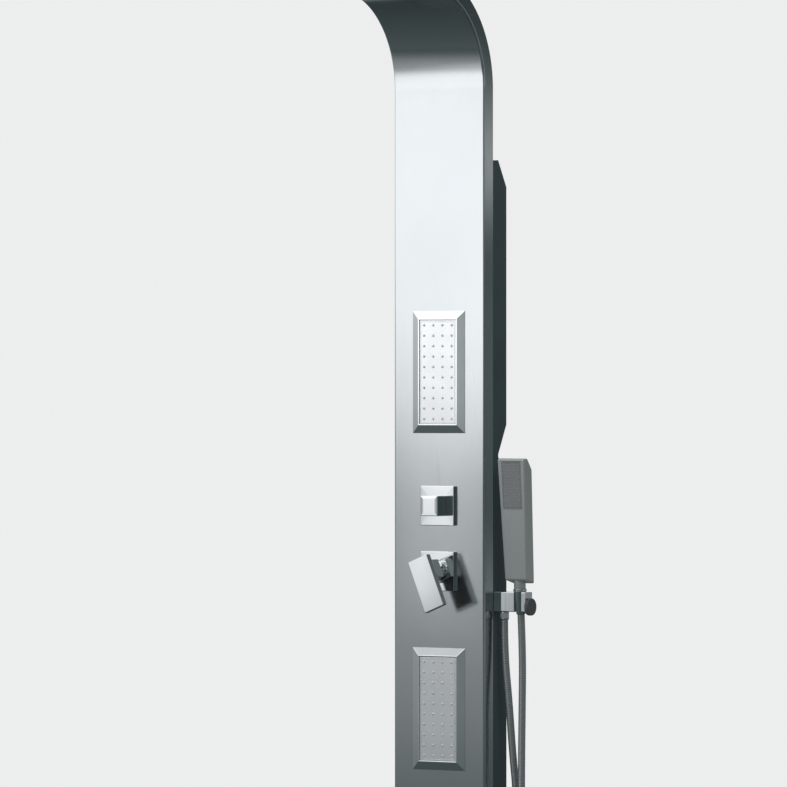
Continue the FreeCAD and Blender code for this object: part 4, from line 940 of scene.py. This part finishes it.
@dataclass
class Studio:
    """Camera, pale room and the cards that the bright metal reflects, in metres."""

    target: Triple = (-0.0711, -0.1262, 0.1320)
    azimuth: float = 33.0
    distance: float = 12.0
    span: float = 1.467
    sensor: float = 36.0
    far: float = 200.0
    pale: Triple = (0.846, 0.850, 0.852)
    light: Triple = (0.95, 0.98, 1.0)
    light_strength: float = 0.52
    lamp_aim: Triple = (0.0, -0.1, 0.0)
    floor_height: float = -1.25
    floor_radius: float = 4.0
    floor_steps: int = 96
    tent_radius: float = 2.6
    tent_columns: int = 360
    tent_rows: int = 60
    tent_low: float = -1.2
    tent_high: float = 2.4
    slope: float = 0.3
    slope_half: float = 12.0
    slope_reach: float = 50.0
    slope_heights: tuple[float, ...] = (-0.05, 0.05, 0.3, 0.4)
    strip: float = 0.62
    strip_turn: float = 31.3
    strip_half: float = 2.0
    strip_heights: tuple[float, ...] = (-0.42, -0.27, 0.0, 0.3)
    low_spokes: int = 48
    low_rings: int = 8
    low_lift: float = 0.02
    low_tone: float = 0.055
    low_gain: float = 0.06

    def camera(self) -> None:
        """A long lens at the photograph's viewing angle."""
        lens = bpy.data.cameras.new("camera")
        lens.sensor_width = self.sensor
        lens.lens = self.sensor * self.distance / self.span
        lens.clip_end = self.far
        angle = math.radians(self.azimuth)
        eye = shown("camera", lens)
        away = Vector((math.sin(angle), -math.cos(angle), 0.0)) * self.distance
        eye.location = Vector(self.target) + away
        eye.rotation_euler = (math.pi / 2, 0.0, angle)
        bpy.context.scene.camera = eye

    def world(self) -> None:
        """A pale world for the eye and for reflections, softer for lighting."""
        world = bpy.data.worlds.new("pale_room")
        world.use_nodes = True
        tree = world.node_tree
        tree.nodes.clear()
        seen = added(tree, "ShaderNodeBackground", {"Color": self.pale})
        lit = added(tree, "ShaderNodeBackground", {
            "Color": self.light, "Strength": self.light_strength})
        path = tree.nodes.new("ShaderNodeLightPath").outputs
        ray = path["Is Camera Ray"]
        for other in ("Is Glossy Ray", "Is Transmission Ray"):
            ray = added(tree, "ShaderNodeMath", {0: ray, 1: path[other]},
                        operation="MAXIMUM").outputs[0]
        mix = added(tree, "ShaderNodeMixShader", {
            0: ray, 1: lit.outputs[0], 2: seen.outputs[0]})
        added(tree, "ShaderNodeOutputWorld", {"Surface": mix.outputs[0]})
        bpy.context.scene.world = world

    def lamps(self) -> None:
        """Two wide soft lamps, in front to the left and to the right."""
        for name, place, size, power in (
                ("front_lamp", (-2.6, -4.2, 2.6), 2.4, 95.0),
                ("right_lamp", (3.4, -1.6, 1.8), 1.8, 34.0)):
            lamp = bpy.data.lights.new(name, "AREA")
            lamp.shape = "SQUARE"
            lamp.size = size
            lamp.energy = power
            holder = shown(name, lamp)
            holder.location = place
            aim = Vector(self.lamp_aim) - Vector(place)
            holder.rotation_euler = aim.to_track_quat("-Z", "Y").to_euler()
            holder.visible_camera = False
            holder.visible_glossy = False

    def floor(self) -> None:
        """A pale round floor below the column."""
        graph = Graph("floor")
        pale = ramp(graph.tree, graph.noise(3.0, 3.0),
                    ((0.0, (0.80, 0.805, 0.81)), (1.0, (0.86, 0.862, 0.865))))
        graph.wire(Base_Color=pale, Roughness=0.9)
        mesh = bpy.data.meshes.new("floor")
        mesh.from_pydata([(x, y, self.floor_height) for x, y in circle_points(
            self.floor_radius, self.floor_steps)], [], [tuple(range(self.floor_steps))])
        mesh.materials.append(graph.material)
        shown("floor", mesh)

    def tone(self, turn: float, height: float) -> float:
        """How bright the tent is in a direction.

        Args:
            turn: Degrees to the left of straight in front.
            height: Metres above the middle.

        Returns:
            The strength of its light.
        """
        first = CARD_TURNS[0][0]
        turn = (turn - first) % 360.0 + first
        strength = between([place for place, _ in CARD_TURNS],
                           [between(CARD_HEIGHTS, CARDS[name], height)
                            for _, name in CARD_TURNS], turn)
        off = turn - self.azimuth
        if abs(off) < self.slope_reach:
            near = max(-1.0, min(1.0, off / self.slope_half))
            strength *= 1.0 - self.slope * near * between(
                self.slope_heights, (0.0, 1.0, 1.0, 0.0), height)
        strip = self.strip * math.exp(-((turn - self.strip_turn) / self.strip_half) ** 2)
        return strength + strip * between(self.strip_heights, (0.0, 1.0, 1.0, 0.0), height)

    def tent(self) -> None:
        """Cards round and below the column that only reflections see."""
        def spot(reach: float, angle: float, height: float) -> Triple:
            """A point round the column."""
            return (-reach * math.sin(angle), -reach * math.cos(angle), height)
        points, faces, tones = [], [], []
        for row in range(self.tent_rows + 1):
            height = self.tent_low + (self.tent_high - self.tent_low) * row / self.tent_rows
            for column in range(self.tent_columns):
                turn = 360.0 * column / self.tent_columns
                points.append(spot(self.tent_radius, math.radians(turn), height))
                tones.append(self.tone(turn, height))
        for row in range(self.tent_rows):
            low, high = row * self.tent_columns, (row + 1) * self.tent_columns
            for column in range(self.tent_columns):
                after = (column + 1) % self.tent_columns
                faces.append((low + column, low + after, high + after, high + column))
        self.card("tent", points, faces, tones)
        level = self.tent_low + self.low_lift
        points, faces, tones = [(0.0, 0.0, level)], [], [self.low_tone]
        for ring in range(1, self.low_rings + 1):
            share = ring / self.low_rings
            for column in range(self.low_spokes):
                angle = 2.0 * math.pi * column / self.low_spokes
                front = max(0.0, math.cos(angle - math.radians(self.azimuth)))
                points.append(spot(self.tent_radius * share, angle, level))
                tones.append(self.low_tone + self.low_gain * front * share)
        for column in range(self.low_spokes):
            after = (column + 1) % self.low_spokes
            faces.append((0, 1 + column, 1 + after))
            for ring in range(self.low_rings - 1):
                low, high = 1 + ring * self.low_spokes, 1 + (ring + 1) * self.low_spokes
                faces.append((low + column, high + column, high + after, low + after))
        self.card("low_card", points, faces, tones)

    def card(self, name: str, points: list[Triple], faces: list[tuple[int, ...]],
             tones: list[float]) -> None:
        """A glowing surface that only glossy rays see.

        Args:
            name: The object's name.
            points: Its points.
            faces: Its faces.
            tones: The strength at each point.
        """
        mesh = bpy.data.meshes.new(name)
        mesh.from_pydata(points, [], faces)
        mesh.attributes.new("tone", "FLOAT", "POINT").data.foreach_set("value", tones)
        material = bpy.data.materials.new(name)
        material.use_nodes = True
        tree = material.node_tree
        tree.nodes.clear()
        tone = added(tree, "ShaderNodeAttribute", {}, attribute_name="tone").outputs["Fac"]
        glow = added(tree, "ShaderNodeEmission", {
            "Color": ramp(tree, tone, CARD_STOPS), "Strength": tone})
        added(tree, "ShaderNodeOutputMaterial", {"Surface": glow.outputs[0]})
        mesh.materials.append(material)
        card = shown(name, mesh)
        for rays in ("camera", "diffuse", "shadow", "transmission", "volume_scatter"):
            setattr(card, "visible_" + rays, False)

    def build(self) -> None:
        """Set up everything round the column."""
        bpy.context.scene.view_settings.view_transform = "Standard"
        self.camera()
        self.world()
        self.lamps()
        self.floor()
        self.tent()
        log.info("studio: camera at %.0f degrees, tent and floor", self.azimuth)


# ------------------------------------------------------------------------- hose
ROUTE = (
    (117.5, -37.5, -288.5), (117.5, -37.5, -350.0), (126.5, -36.0, -440.0),
    (129.5, -30.0, -525.0), (135.0, -25.0, -605.0), (138.0, -22.0, -672.0),
    (133.0, -20.0, -740.0), (106.0, -20.0, -804.0), (68.0, -22.0, -854.0),
    (60.0, -25.0, -912.0), (93.0, -29.5, -963.0), (149.0, -35.0, -983.0),
    (205.0, -41.0, -963.0), (238.0, -45.5, -912.0), (231.0, -48.0, -854.0),
    (191.0, -47.5, -804.0), (165.0, -45.0, -732.0), (156.0, -40.0, -650.0),
    (152.5, -34.0, -555.0), (152.0, -31.0, -455.0), (153.0, -30.6, -349.7),
    (153.0, -36.4, -277.95),
)


@dataclass
class Hose:
    """The shower hose, the short tail inside its upper end and its two nuts."""

    radius: float = 7.0
    groove: float = 0.42
    sides: int = 18
    fine: int = 110
    tail_length: float = 18.0
    tail_rise: float = 6.0
    tail_step: float = 0.5
    tail_radius: float = 6.4
    flutes: int = 20
    flute_depth: float = 0.45
    socket_low: float = -9.5
    socket_length: float = 37.0
    socket_radius_low: float = 9.3
    socket_radius_high: float = 11.9
    cone_gap: float = 0.3
    cone_low: float = -14.0
    cone_high: float = 28.5

    def centre_line(self) -> Loop:
        """Read points from the route's smooth spline.

        Returns:
            The points, in metres.
        """
        curve = bpy.data.curves.new("hose_line", "CURVE")
        curve.dimensions = "3D"
        curve.resolution_u = self.fine
        line = curve.splines.new("NURBS")
        line.points.add(len(ROUTE) - 1)
        for point, (x, y, z) in zip(line.points, ROUTE):
            point.co = (x * MM, y * MM, z * MM, 1.0)
        line.order_u = 3
        line.use_endpoint_u = True
        holder = shown("hose_line", curve)
        mesh = evaluated(holder)
        points = [vertex.co.copy() for vertex in mesh.vertices]
        bpy.data.objects.remove(holder)
        bpy.data.curves.remove(curve)
        bpy.data.meshes.remove(mesh)
        return points

    def tube(self, name: str, line: Loop, radius: float, body: Bodies, *nodes: str) -> Piece:
        """A ribbed tube along a line.

        Args:
            name: The piece's name.
            line: Its centre line in metres.
            radius: Its radius in millimetres.
            body: The body it moves with.
            nodes: The solids it stands for.

        Returns:
            The piece, with the distance along it as an attribute.
        """
        loops, runs, travelled = [], [], 0.0
        ahead = (line[1] - line[0]).normalized()
        side = ahead.cross(Vector((0.0, 1.0, 0.0))).normalized()
        for index, point in enumerate(line):
            before, after = line[max(index - 1, 0)], line[min(index + 1, len(line) - 1)]
            travelled += (point - before).length
            ahead = (after - before).normalized()
            side = (side - ahead * side.dot(ahead)).normalized()
            up = ahead.cross(side)
            wave = 0.5 - 0.5 * math.cos(2.0 * math.pi * travelled / (HOSE_PITCH * MM))
            reach = (radius - self.groove * wave ** 2) * MM
            loops.append([point + (side * u + up * v) * reach
                          for u, v in circle_points(1.0, self.sides)])
            runs += [travelled] * self.sides
        piece = Draft().stack(loops).finished(name, Finishes.HOSE, 75.0)
        piece.data.attributes.new("along", "FLOAT", "POINT").data.foreach_set("value", runs)
        return placed(piece, Finishes.HOSE, body, *nodes)

    def nut(self, name: str, seat: Seat, profile: Pairs, low: float, high: float,
            body: Bodies, node: str) -> Piece:
        """A turned nut with grip flutes between two heights.

        Args:
            name: The piece's name.
            seat: Its foot; out is its axis.
            profile: Radii and heights.
            low: Height where the flutes start.
            high: Height where they end.
            body: The body it moves with.
            node: The solid it stands for.

        Returns:
            The piece.
        """
        def grip(angle: float, radius: float, height: float) -> float:
            """The radius at an angle."""
            if not low <= height <= high:
                return radius
            return radius - self.flute_depth * (
                0.5 + 0.5 * math.cos(self.flutes * angle)) ** 3
        return lathe(seat, profile, 8 * self.flutes, grip).placed(
            name, Finishes.CHROME, 40.0, body, node)

    def cone_radius(self, height: float) -> float:
        """The cone nut's radius at a height, a gap inside the cradle's tapered socket."""
        taper = (self.socket_radius_high - self.socket_radius_low) / self.socket_length
        return self.socket_radius_low - self.cone_gap + taper * (height - self.socket_low)

    def build(self) -> None:
        """The hose, its tail and its nuts."""
        line = self.centre_line()
        hose = self.tube("shower_hose_tube", line, self.radius, Bodies.PANEL, "shower_hose")
        along = bar_axis_seat()
        top = Vector(ROUTE[-1]) * MM
        steps = int(self.tail_length / self.tail_step)
        tail = [top + along.out * ((self.tail_rise - self.tail_length * step / steps) * MM)
                for step in range(steps + 1)]
        self.tube("hose_tail", tail, self.tail_radius, Bodies.HANDSET)
        nut = self.nut("outlet_nut_fluted", seat_at(ROUTE[0]), (
            (7.4, 0.0), (8.0, 0.35), (8.5, 1.2), (8.5, 2.4), (8.5, 3.0), (8.5, 12.4),
            (8.5, 13.0), (8.5, 13.6), (8.2, 14.6), (7.8, 15.0)), 3.0, 12.4,
            Bodies.PANEL, "hose_outlet_nut")
        low, high = self.cone_low, self.cone_high
        foot, head = self.cone_radius(low), self.cone_radius(high)
        cone = self.nut("cone_nut_fluted", along, (
            (foot - 1.2, low), (foot - 0.4, low + 0.3), (foot, low + 1.2), (head, high - 0.3),
            (head + 0.05, high), (12.0, high), (12.4, 28.8), (12.5, 29.4), (12.5, 30.0),
            (12.5, 33.0), (12.5, 33.4), (12.2, 33.8), (11.8, 34.0)), 30.0, 33.0,
            Bodies.HANDSET, "hose_cone_nut")


# ------------------------------------------------------------------ panel and casings
@dataclass
class FrontPanel:
    """The folded front sheet with its arch and canopy, and the sheet behind the arch."""

    half_width: float = 100.0
    gauge: float = 1.5
    fold: float = 4.5
    inner_fold: float = 3.0
    fold_steps: int = 6
    flange: float = 30.0
    arch_start: float = 698.0
    arch_radius: float = 175.0
    reach: float = 235.0
    arch_steps: int = 72
    cover_low: float = 566.0
    cover_out: float = 26.0
    cover_gauge: float = 1.2
    cover_reach: float = 233.5
    windows: tuple[tuple[Side, float, float, float], ...] = (
        (Side.FRONT, 172.0, 43.2, 99.7), (Side.FRONT, -456.0, 43.2, 99.7),
        (Side.CANOPY, -375.0, 65.7, 83.7))
    window_round: float = 0.6
    bores: Pairs = ((-77.0, 14.2), (-199.0, 20.2))
    bore_steps: int = 48
    cut_before: float = 5.0
    cut_behind: float = 8.0

    def stations(self, low: float, reach: float) -> list[Station]:
        """Places along the front: Y, Z and the direction to the sheet's back.

        Args:
            low: Height of the first place.
            reach: Length along the canopy.

        Returns:
            One row for each place.
        """
        centre = FACE_Y - self.arch_radius
        rows = [(FACE_Y, low, 1.0, 0.0)]
        for step in range(self.arch_steps + 1):
            angle = math.pi / 2 * step / self.arch_steps
            rows.append((centre + self.arch_radius * math.cos(angle),
                         self.arch_start + self.arch_radius * math.sin(angle),
                         math.cos(angle), math.sin(angle)))
        rows.append((centre - reach, CANOPY_TOP, 0.0, 1.0))
        return rows

    def section(self) -> Pairs:
        """The sheet's U section.

        Returns:
            Across and depth of each point, round its outer and then its inner side.
        """
        outer, inner = [(self.half_width, self.flange)], []
        centre = self.half_width - self.fold
        for step in range(self.fold_steps + 1):
            angle = math.pi / 2 * step / self.fold_steps
            outer.append((centre + self.fold * math.cos(angle),
                          self.fold * (1.0 - math.sin(angle))))
            inner.append((centre + self.inner_fold * math.cos(angle),
                          self.fold - self.inner_fold * math.sin(angle)))
        inner = [(self.half_width - self.gauge, self.flange)] + inner
        left_outer = [(-x, y) for x, y in reversed(outer)]
        left_inner = [(-x, y) for x, y in inner]
        return outer + left_outer + left_inner + list(reversed(inner))

    def swept(self, section: Pairs, low: float, reach: float) -> Draft:
        """Carry a section up the front and along the canopy.

        Args:
            section: Across and depth of each point.
            low: Where it starts.
            reach: Its length along the canopy.

        Returns:
            The draft.
        """
        return Draft().stack([[Vector((x, y + back_y * depth, z + back_z * depth)) * MM
                               for x, depth in section]
                              for y, z, back_y, back_z in self.stations(low, reach)])

    def cutters(self) -> Draft:
        """Blocks for the three windows and posts for the two bores.

        Returns:
            The draft.
        """
        openings = [(side, centre, rounded_points(half_u, half_v, self.window_round, 2))
                    for side, centre, half_u, half_v in self.windows]
        openings += [(Side.FRONT, height, circle_points(radius, self.bore_steps))
                     for height, radius in self.bores]
        draft = Draft()
        for side, centre, points in openings:
            face = FACE_Y if side is Side.FRONT else CANOPY_TOP
            draft.stack([[Vector((u, level, centre + v) if side is Side.FRONT
                                 else (u, centre + v, level)) * MM for u, v in points]
                         for level in (face - self.cut_before, face + self.cut_behind)])
        return draft

    def build(self) -> None:
        """The front sheet and the canopy's cover."""
        sheet = self.swept(self.section(), PANEL_LOW, self.reach).finished(
            "front_sheet", Finishes.PANEL, 25.0)
        carved(sheet, self.cutters().finished("window_blocks", Finishes.PANEL))
        placed(sheet, Finishes.PANEL, Bodies.PANEL, "front_panel")
        half, high = self.half_width - self.gauge, self.cover_out
        low = high - self.cover_gauge
        section = [(half, high), (half, low), (-half, low), (-half, high)]
        self.swept(section, self.cover_low, self.cover_reach).placed(
            "canopy_inner_sheet", Finishes.INNER_SHEET, 25.0, Bodies.PANEL, "canopy_cover")


@dataclass
class Enclosure:
    """Casings, tray and caps behind the front sheet, and the lower cap's screws."""

    casing_edge: float = 0.8
    sheet_edge: float = 0.35
    screw_reach: float = 100.0
    screw_steps: int = 48
    recess_level: float = 0.75
    recess_radius: float = 1.05

    def build(self) -> None:
        """Ease the folded and moulded boxes and set the cap's screws."""
        for node, finish, edge in (
                ("lower_rear_casing", Finishes.CASING, self.casing_edge),
                ("upper_rear_casing", Finishes.CASING, self.casing_edge),
                ("back_tray", Finishes.CASING, self.sheet_edge),
                ("bottom_cap", Finishes.PANEL, self.sheet_edge),
                ("canopy_end_cap", Finishes.PANEL, self.sheet_edge)):
            refined(node, finish, edge)
        self.screws()

    def screws(self) -> None:
        """Two pan head screws with a cross recess under the bottom cap."""
        low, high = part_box("cap_screws")
        middle = (low + high) / (2.0 * MM)
        seat = seat_at((middle.x, middle.y, PANEL_LOW), (1, 0, 0), (0, -1, 0), (0, 0, -1))
        profile = ((1.5, -11.0), (1.5, 0.0), (3.2, 0.0), (3.2, 0.7), (2.9, 1.3), (2.3, 1.7),
                   (1.4, 1.95), (1.0, 2.0), (0.85, 1.0), (0.3, 0.8))

        def cross(angle: float, radius: float, height: float) -> float:
            """Widen the recess to a cross."""
            if height < self.recess_level or radius > self.recess_radius:
                return radius
            return radius * (0.55 + 1.1 * abs(math.cos(2.0 * angle)) ** 6)
        Rows("cap_screw_heads", seat, 0.0, 2, 1, self.screw_reach, 0.0, Finishes.ZINC).placed(
            lathe(seat_at((0, 0, 0)), profile, self.screw_steps, cross),
            Bodies.PANEL, "cap_screws")


# ------------------------------------------------------------------------ spray fields
@dataclass
class SprayField:
    """A bevelled frame round a plate of nozzles."""

    name: str
    seat: Seat
    width: float
    height: float
    columns: int
    rows: int
    bevel_width: float = 14.8
    bevel_rise: float = 6.0
    rim: float = 2.2
    collar: float = 6.0
    collar_wall: float = 2.5
    recess: float = 2.0
    gauge: float = 3.0
    gap: float = 0.2
    nozzle: Triple = (2.2, 2.0, 0.7)

    def loops(self, *steps: tuple[float, ...]) -> list[Loop]:
        """Rectangles inside the outline.

        Args:
            steps: How far inside, how far out of the face and, where it isn't the
                usual one, the corner radius of each.

        Returns:
            The loops.
        """
        return [self.seat.rectangle(self.width / 2 - inset, self.height / 2 - inset, level,
                                    radius[0] if radius else 0.6, 4)
                for inset, level, *radius in steps]

    def build(self) -> None:
        """The frame, the plate and the nozzles."""
        bevel, rise = self.bevel_width, self.bevel_rise
        border = bevel + self.rim
        wall = border - self.collar_wall
        Draft().stack(self.loops(
            (0.0, 0.0, 1.0), (0.0, 0.45, 1.0), (0.15, 0.6, 0.9), (bevel - 0.5, rise - 0.2),
            (bevel, rise - 0.03), (bevel + 0.4, rise), (border - 0.7, rise),
            (border - 0.2, rise - 0.2), (border, rise - 0.7), (border, -self.collar),
            (wall, -self.collar), (wall, 0.0)), True).placed(
                self.name + "_bezel", Finishes.CHROME, 24.0, Bodies.PANEL,
                self.name + "_frame")
        high = rise - self.recess
        edge = border + self.gap
        Draft().stack(self.loops(
            (edge, high - self.gauge), (edge, high - 0.5), (edge + 0.15, high - 0.15),
            (edge + 0.5, high), (edge + 2.4, high), (edge + 2.7, high - 0.25),
            (edge + 3.3, high - 0.25), (edge + 3.6, high))).placed(
                self.name + "_nozzle_sheet", Finishes.NOZZLE_PLATE, 24.0, Bodies.PANEL,
                self.name + "_plate")
        Rows(self.name + "_nozzles", self.seat, high, self.columns, self.rows,
             (self.width - 2 * border) / self.columns, (self.height - 2 * border) / self.rows,
             Finishes.NOZZLE).placed(nozzle_shape(*self.nozzle), Bodies.PANEL)


# ------------------------------------------------------------------------ controls
@dataclass
class Controls:
    """Diverter and mixer: cover plates, square knob and lever."""

    diverter: Seat = field(default_factory=lambda: front_seat(-77.0))
    mixer: Seat = field(default_factory=lambda: front_seat(-199.0))
    lever: Seat = field(default_factory=lambda: front_seat(-199.0, 22.0))
    diverter_bore: float = 14.3
    mixer_bore: float = 20.3
    plate_half: float = 37.0
    plate_rise: float = 7.0
    plate_wall: float = 2.5
    plate_skin: float = 1.5
    knob_half: float = 19.0
    knob_back: float = 7.6
    knob_front: float = 35.0
    lever_half: float = 22.5
    lever_up: float = 27.0
    lever_down: float = 74.0
    lever_back: float = 48.0
    lever_front: float = 60.0
    neck_half: float = 18.0
    neck_foot: float = 19.0
    dome_centre: float = 9.0
    bowl_radius: float = 19.5

    def cover_plate(self, name: str, seat: Seat, bore: float, node: str) -> None:
        """A square plate with eased edges, hollow behind, round a bore.

        Args:
            name: The piece's name.
            seat: Its seat.
            bore: Radius of its opening.
            node: The solid it stands for.
        """
        half, rise = self.plate_half, self.plate_rise
        inner, under = half - self.plate_wall, rise - self.plate_skin
        outline = rounded_points(half, half, 2.0, 7)
        front = [seat.rectangle(size, size, level, radius, 7) for size, level, radius in (
            (half, 0.0, 2.0), (half, rise - 1.2, 2.0), (half - 0.25, rise - 0.45, 1.8),
            (half - 0.7, rise - 0.1, 1.6), (half - 1.2, rise, 1.4))]
        opening = [seat.circle(bore, level, outline) for level in (rise, under)]
        back = [seat.rectangle(inner, inner, level, 1.0, 7) for level in (under, 0.0)]
        Draft().stack(front + opening + back, True).placed(
            name, Finishes.CHROME, 24.0, Bodies.PANEL, node)

    def knob(self) -> None:
        """The square diverter knob: tapered lip, crowned front, a shadow groove."""
        back, front = self.knob_back, self.knob_front
        Draft().stack([
            self.diverter.rectangle(self.knob_half - inset, self.knob_half - inset, level,
                                    radius, 5)
            for inset, level, radius in (
                (1.0, back, 1.6), (0.3, back + 0.2, 1.6), (0.0, back + 0.9, 1.6),
                (0.0, back + 4.0, 1.6), (0.5, back + 4.3, 1.6), (0.5, back + 4.9, 1.6),
                (0.0, back + 5.2, 1.6), (0.0, front - 1.5, 1.6), (0.15, front - 0.8, 1.6),
                (0.6, front - 0.25, 1.4), (1.3, front, 1.2), (8.0, front, 1.0))]).placed(
                    "diverter_square_knob", Finishes.CHROME, 28.0, Bodies.DIVERTER,
                    "diverter_knob")

    def lever_slab(self) -> None:
        """The lever: a flat slab on a square neck that is hollow for the dome."""
        middle = (self.lever_up - self.lever_down) / 2
        half_v = (self.lever_up + self.lever_down) / 2
        back, front, foot = self.lever_back, self.lever_front, self.neck_foot

        def slab(*sizes: tuple[float, float]) -> list[Loop]:
            """Rounded rectangles of the slab, by inset and level."""
            return [self.lever.rectangle(self.lever_half - inset, half_v - inset, level, 1.5,
                                         5, middle) for inset, level in sizes]

        def neck(steps: int, *sizes: tuple[float, float]) -> list[Loop]:
            """Rounded squares round the neck, by inset and level."""
            return [self.lever.rectangle(self.neck_half - inset, self.neck_half - inset,
                                         level, 1.5, steps) for inset, level in sizes]

        outline = rounded_points(self.neck_half, self.neck_half, 1.5, 7)
        top = self.dome_centre + self.bowl_radius
        bowl = [self.lever.circle(
            math.sqrt(self.bowl_radius ** 2 - (level - self.dome_centre) ** 2), level, outline)
            for level in (foot, foot + 2.5, foot + 5.0, foot + 7.0, top - 1.2, top - 0.4,
                          top - 0.05)]
        Draft().stack(slab(
            (1.5, back), (0.8, back + 0.1), (0.2, back + 0.6), (0.0, back + 1.4),
            (0.0, front - 1.4), (0.2, front - 0.6), (0.7, front - 0.12), (1.5, front))).stack(
                neck(7, (0.0, back + 1.0), (0.0, foot + 0.5), (0.4, foot)) + bowl).placed(
                    "mixer_lever_slab", Finishes.CHROME, 28.0, Bodies.LEVER, "mixer_lever")
        # A dark liner on the lever's back: partly a dark insert, partly painted shade on the
        # lever's underside that also darkens its reflection in the front sheet.
        Draft().stack(
            slab((3.0, back + 0.2), (3.0, back - 0.3), (3.5, back - 0.6))
            + neck(5, (-0.2, back - 0.6), (-0.2, back + 0.2)), True).placed(
                "lever_back_liner", Finishes.KNOB, 28.0, Bodies.LEVER)

    def build(self) -> None:
        """All the pieces of both controls."""
        self.cover_plate("diverter_cover", self.diverter, self.diverter_bore, "diverter_plate")
        self.cover_plate("mixer_cover", self.mixer, self.mixer_bore, "mixer_plate")
        self.knob()
        self.lever_slab()


# ------------------------------------------------------------------------ hand shower
@dataclass
class HandShower:
    """The square bar hand shower and the tilt knob of its cradle."""

    bar_foot_half: float = 24.0
    bar_head_half: float = 30.0
    bar_half_depth: float = 13.5
    bar_low: float = 51.0
    bar_high: float = 277.0
    bar_round: float = 3.2
    bar_round_steps: int = 5
    crown_flat: float = 12.0
    crown_drop: float = 22.0
    foot_drop: float = 9.0
    neck_low: float = 34.0
    neck_radius: float = 11.0
    shank_low: float = 22.0
    shank_radius: float = 6.5
    spray_half_u: float = 20.8
    spray_half_v: float = 43.8
    spray_middle: float = 227.0
    spray_gap: float = 0.25
    spray_depth: float = 2.2
    knob_x: float = 170.0
    knob_flutes: int = 24
    knob_flute_depth: float = 0.7

    def shell(self) -> None:
        """The bar with rounded edges, wider at its head, a recess and a round neck."""
        seat, depth, foot = bar_seat(), self.bar_half_depth, self.bar_low - self.foot_drop
        side = ((depth, self.bar_low), (depth, self.bar_high),
                (depth - self.crown_flat, self.bar_high),
                (-depth, self.bar_high - self.crown_drop), (-depth, foot))

        def outline(way: float) -> Loop:
            """The bar's side, to the right or to the left."""
            points = []
            for level, along in side:
                share = (along - foot) / (self.bar_high - foot)
                half = self.bar_foot_half + (self.bar_head_half - self.bar_foot_half) * share
                points.append(seat.at(way * half, along, level))
            return points
        shell = eased(Draft().stack([outline(-1.0), outline(1.0)]).finished(
            "handset_shell", Finishes.HANDSET), self.bar_round, self.bar_round_steps)
        block = Draft().stack([
            seat.rectangle(self.spray_half_u + self.spray_gap,
                           self.spray_half_v + self.spray_gap, level, 1.4, 5,
                           self.spray_middle)
            for level in (depth - self.spray_depth, depth + 3.0)])
        carved(shell, block.finished("recess_block", Finishes.HANDSET))
        placed(shell, Finishes.HANDSET, Bodies.HANDSET, "handset_body")
        shank, neck = self.shank_radius, self.neck_radius
        lathe(bar_axis_seat(), (
            (shank - 0.6, self.shank_low), (shank, self.shank_low + 0.6),
            (shank, self.neck_low), (neck - 0.8, self.neck_low),
            (neck - 0.25, self.neck_low + 0.25), (neck, self.neck_low + 0.8),
            (neck, self.bar_low + 1.0)), 72).placed(
                "handset_neck", Finishes.HANDSET, 40.0, Bodies.HANDSET)

    def spray(self) -> None:
        """The spray face and its nozzles."""
        seat, front = bar_seat(), self.bar_half_depth
        Draft().stack([
            seat.rectangle(self.spray_half_u - inset, self.spray_half_v - inset, level, 1.2,
                           5, self.spray_middle)
            for inset, level in ((0.0, front - 2.0), (0.0, front - 0.4), (0.4, front),
                                 (2.2, front), (2.5, front - 0.3), (3.0, front - 0.3),
                                 (3.3, front))]).placed(
                "spray_face_plate", Finishes.SPRAY, 24.0, Bodies.HANDSET,
                "handset_spray_face")
        Rows("spray_face_nozzles", seat, front, 4, 8, 10.5, 11.0, Finishes.SPRAY_NOZZLE,
             self.spray_middle).placed(nozzle_shape(1.4, 1.0, 0.45), Bodies.HANDSET)

    def tilt_knob(self) -> None:
        """The dark round knob with grip flutes at the cradle's right side."""
        def grip(angle: float, radius: float, height: float) -> float:
            """The radius at an angle."""
            if radius < 15.0 or not 1.4 <= height <= 6.6:
                return radius
            return radius - self.knob_flute_depth * (
                0.5 + 0.5 * math.cos(self.knob_flutes * angle)) ** 2
        profile = ((14.6, 0.0), (15.6, 0.3), (16.0, 1.0), (16.0, 1.4), (16.0, 6.6),
                   (16.0, 7.0), (15.6, 7.7), (14.8, 8.0), (11.0, 8.0), (10.4, 7.6), (9.8, 7.6))
        seat = seat_at((self.knob_x, *BAR_PIVOT[1:]), (0, 1, 0), (0, 0, 1), (1, 0, 0))
        lathe(seat, profile, 8 * self.knob_flutes, grip).placed(
            "tilt_knob_fluted", Finishes.KNOB, 40.0, Bodies.HOLDER, "tilt_knob")

    def build(self) -> None:
        """The hand shower's pieces."""
        self.shell()
        self.spray()
        self.tilt_knob()


# ------------------------------------------------------------------------------ solids
def dress_solids() -> None:
    """Give every solid the finish of its slot."""
    for entry in frame["record"]["subparts"]:
        finish = SOLID_FINISH[entry["material_slot"]]
        materials = frame["nodes"][entry["node"]].data.materials
        materials.clear()
        materials.append(finish.material())
        log.info("solid %s: %s", entry["node"], finish.name)


def main() -> None:
    """Build the studio, the hose and every sub-assembly."""
    logging.basicConfig(level=logging.INFO, format="%(name)s %(message)s")
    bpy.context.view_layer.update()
    Studio().build()
    dress_solids()
    Hose().build()
    FrontPanel().build()
    Enclosure().build()
    canopy = seat_at((0.0, -375.0, CANOPY_TOP), (1, 0, 0), (0, -1, 0), (0, 0, -1))
    SprayField("upper_jet", front_seat(172.0), 115.0, 228.0, 4, 10).build()
    SprayField("lower_jet", front_seat(-456.0), 115.0, 228.0, 4, 10).build()
    SprayField("rain_head", canopy, 160.0, 196.0, 6, 8).build()
    Controls().build()
    HandShower().build()


if __name__ == "__main__":
    main()
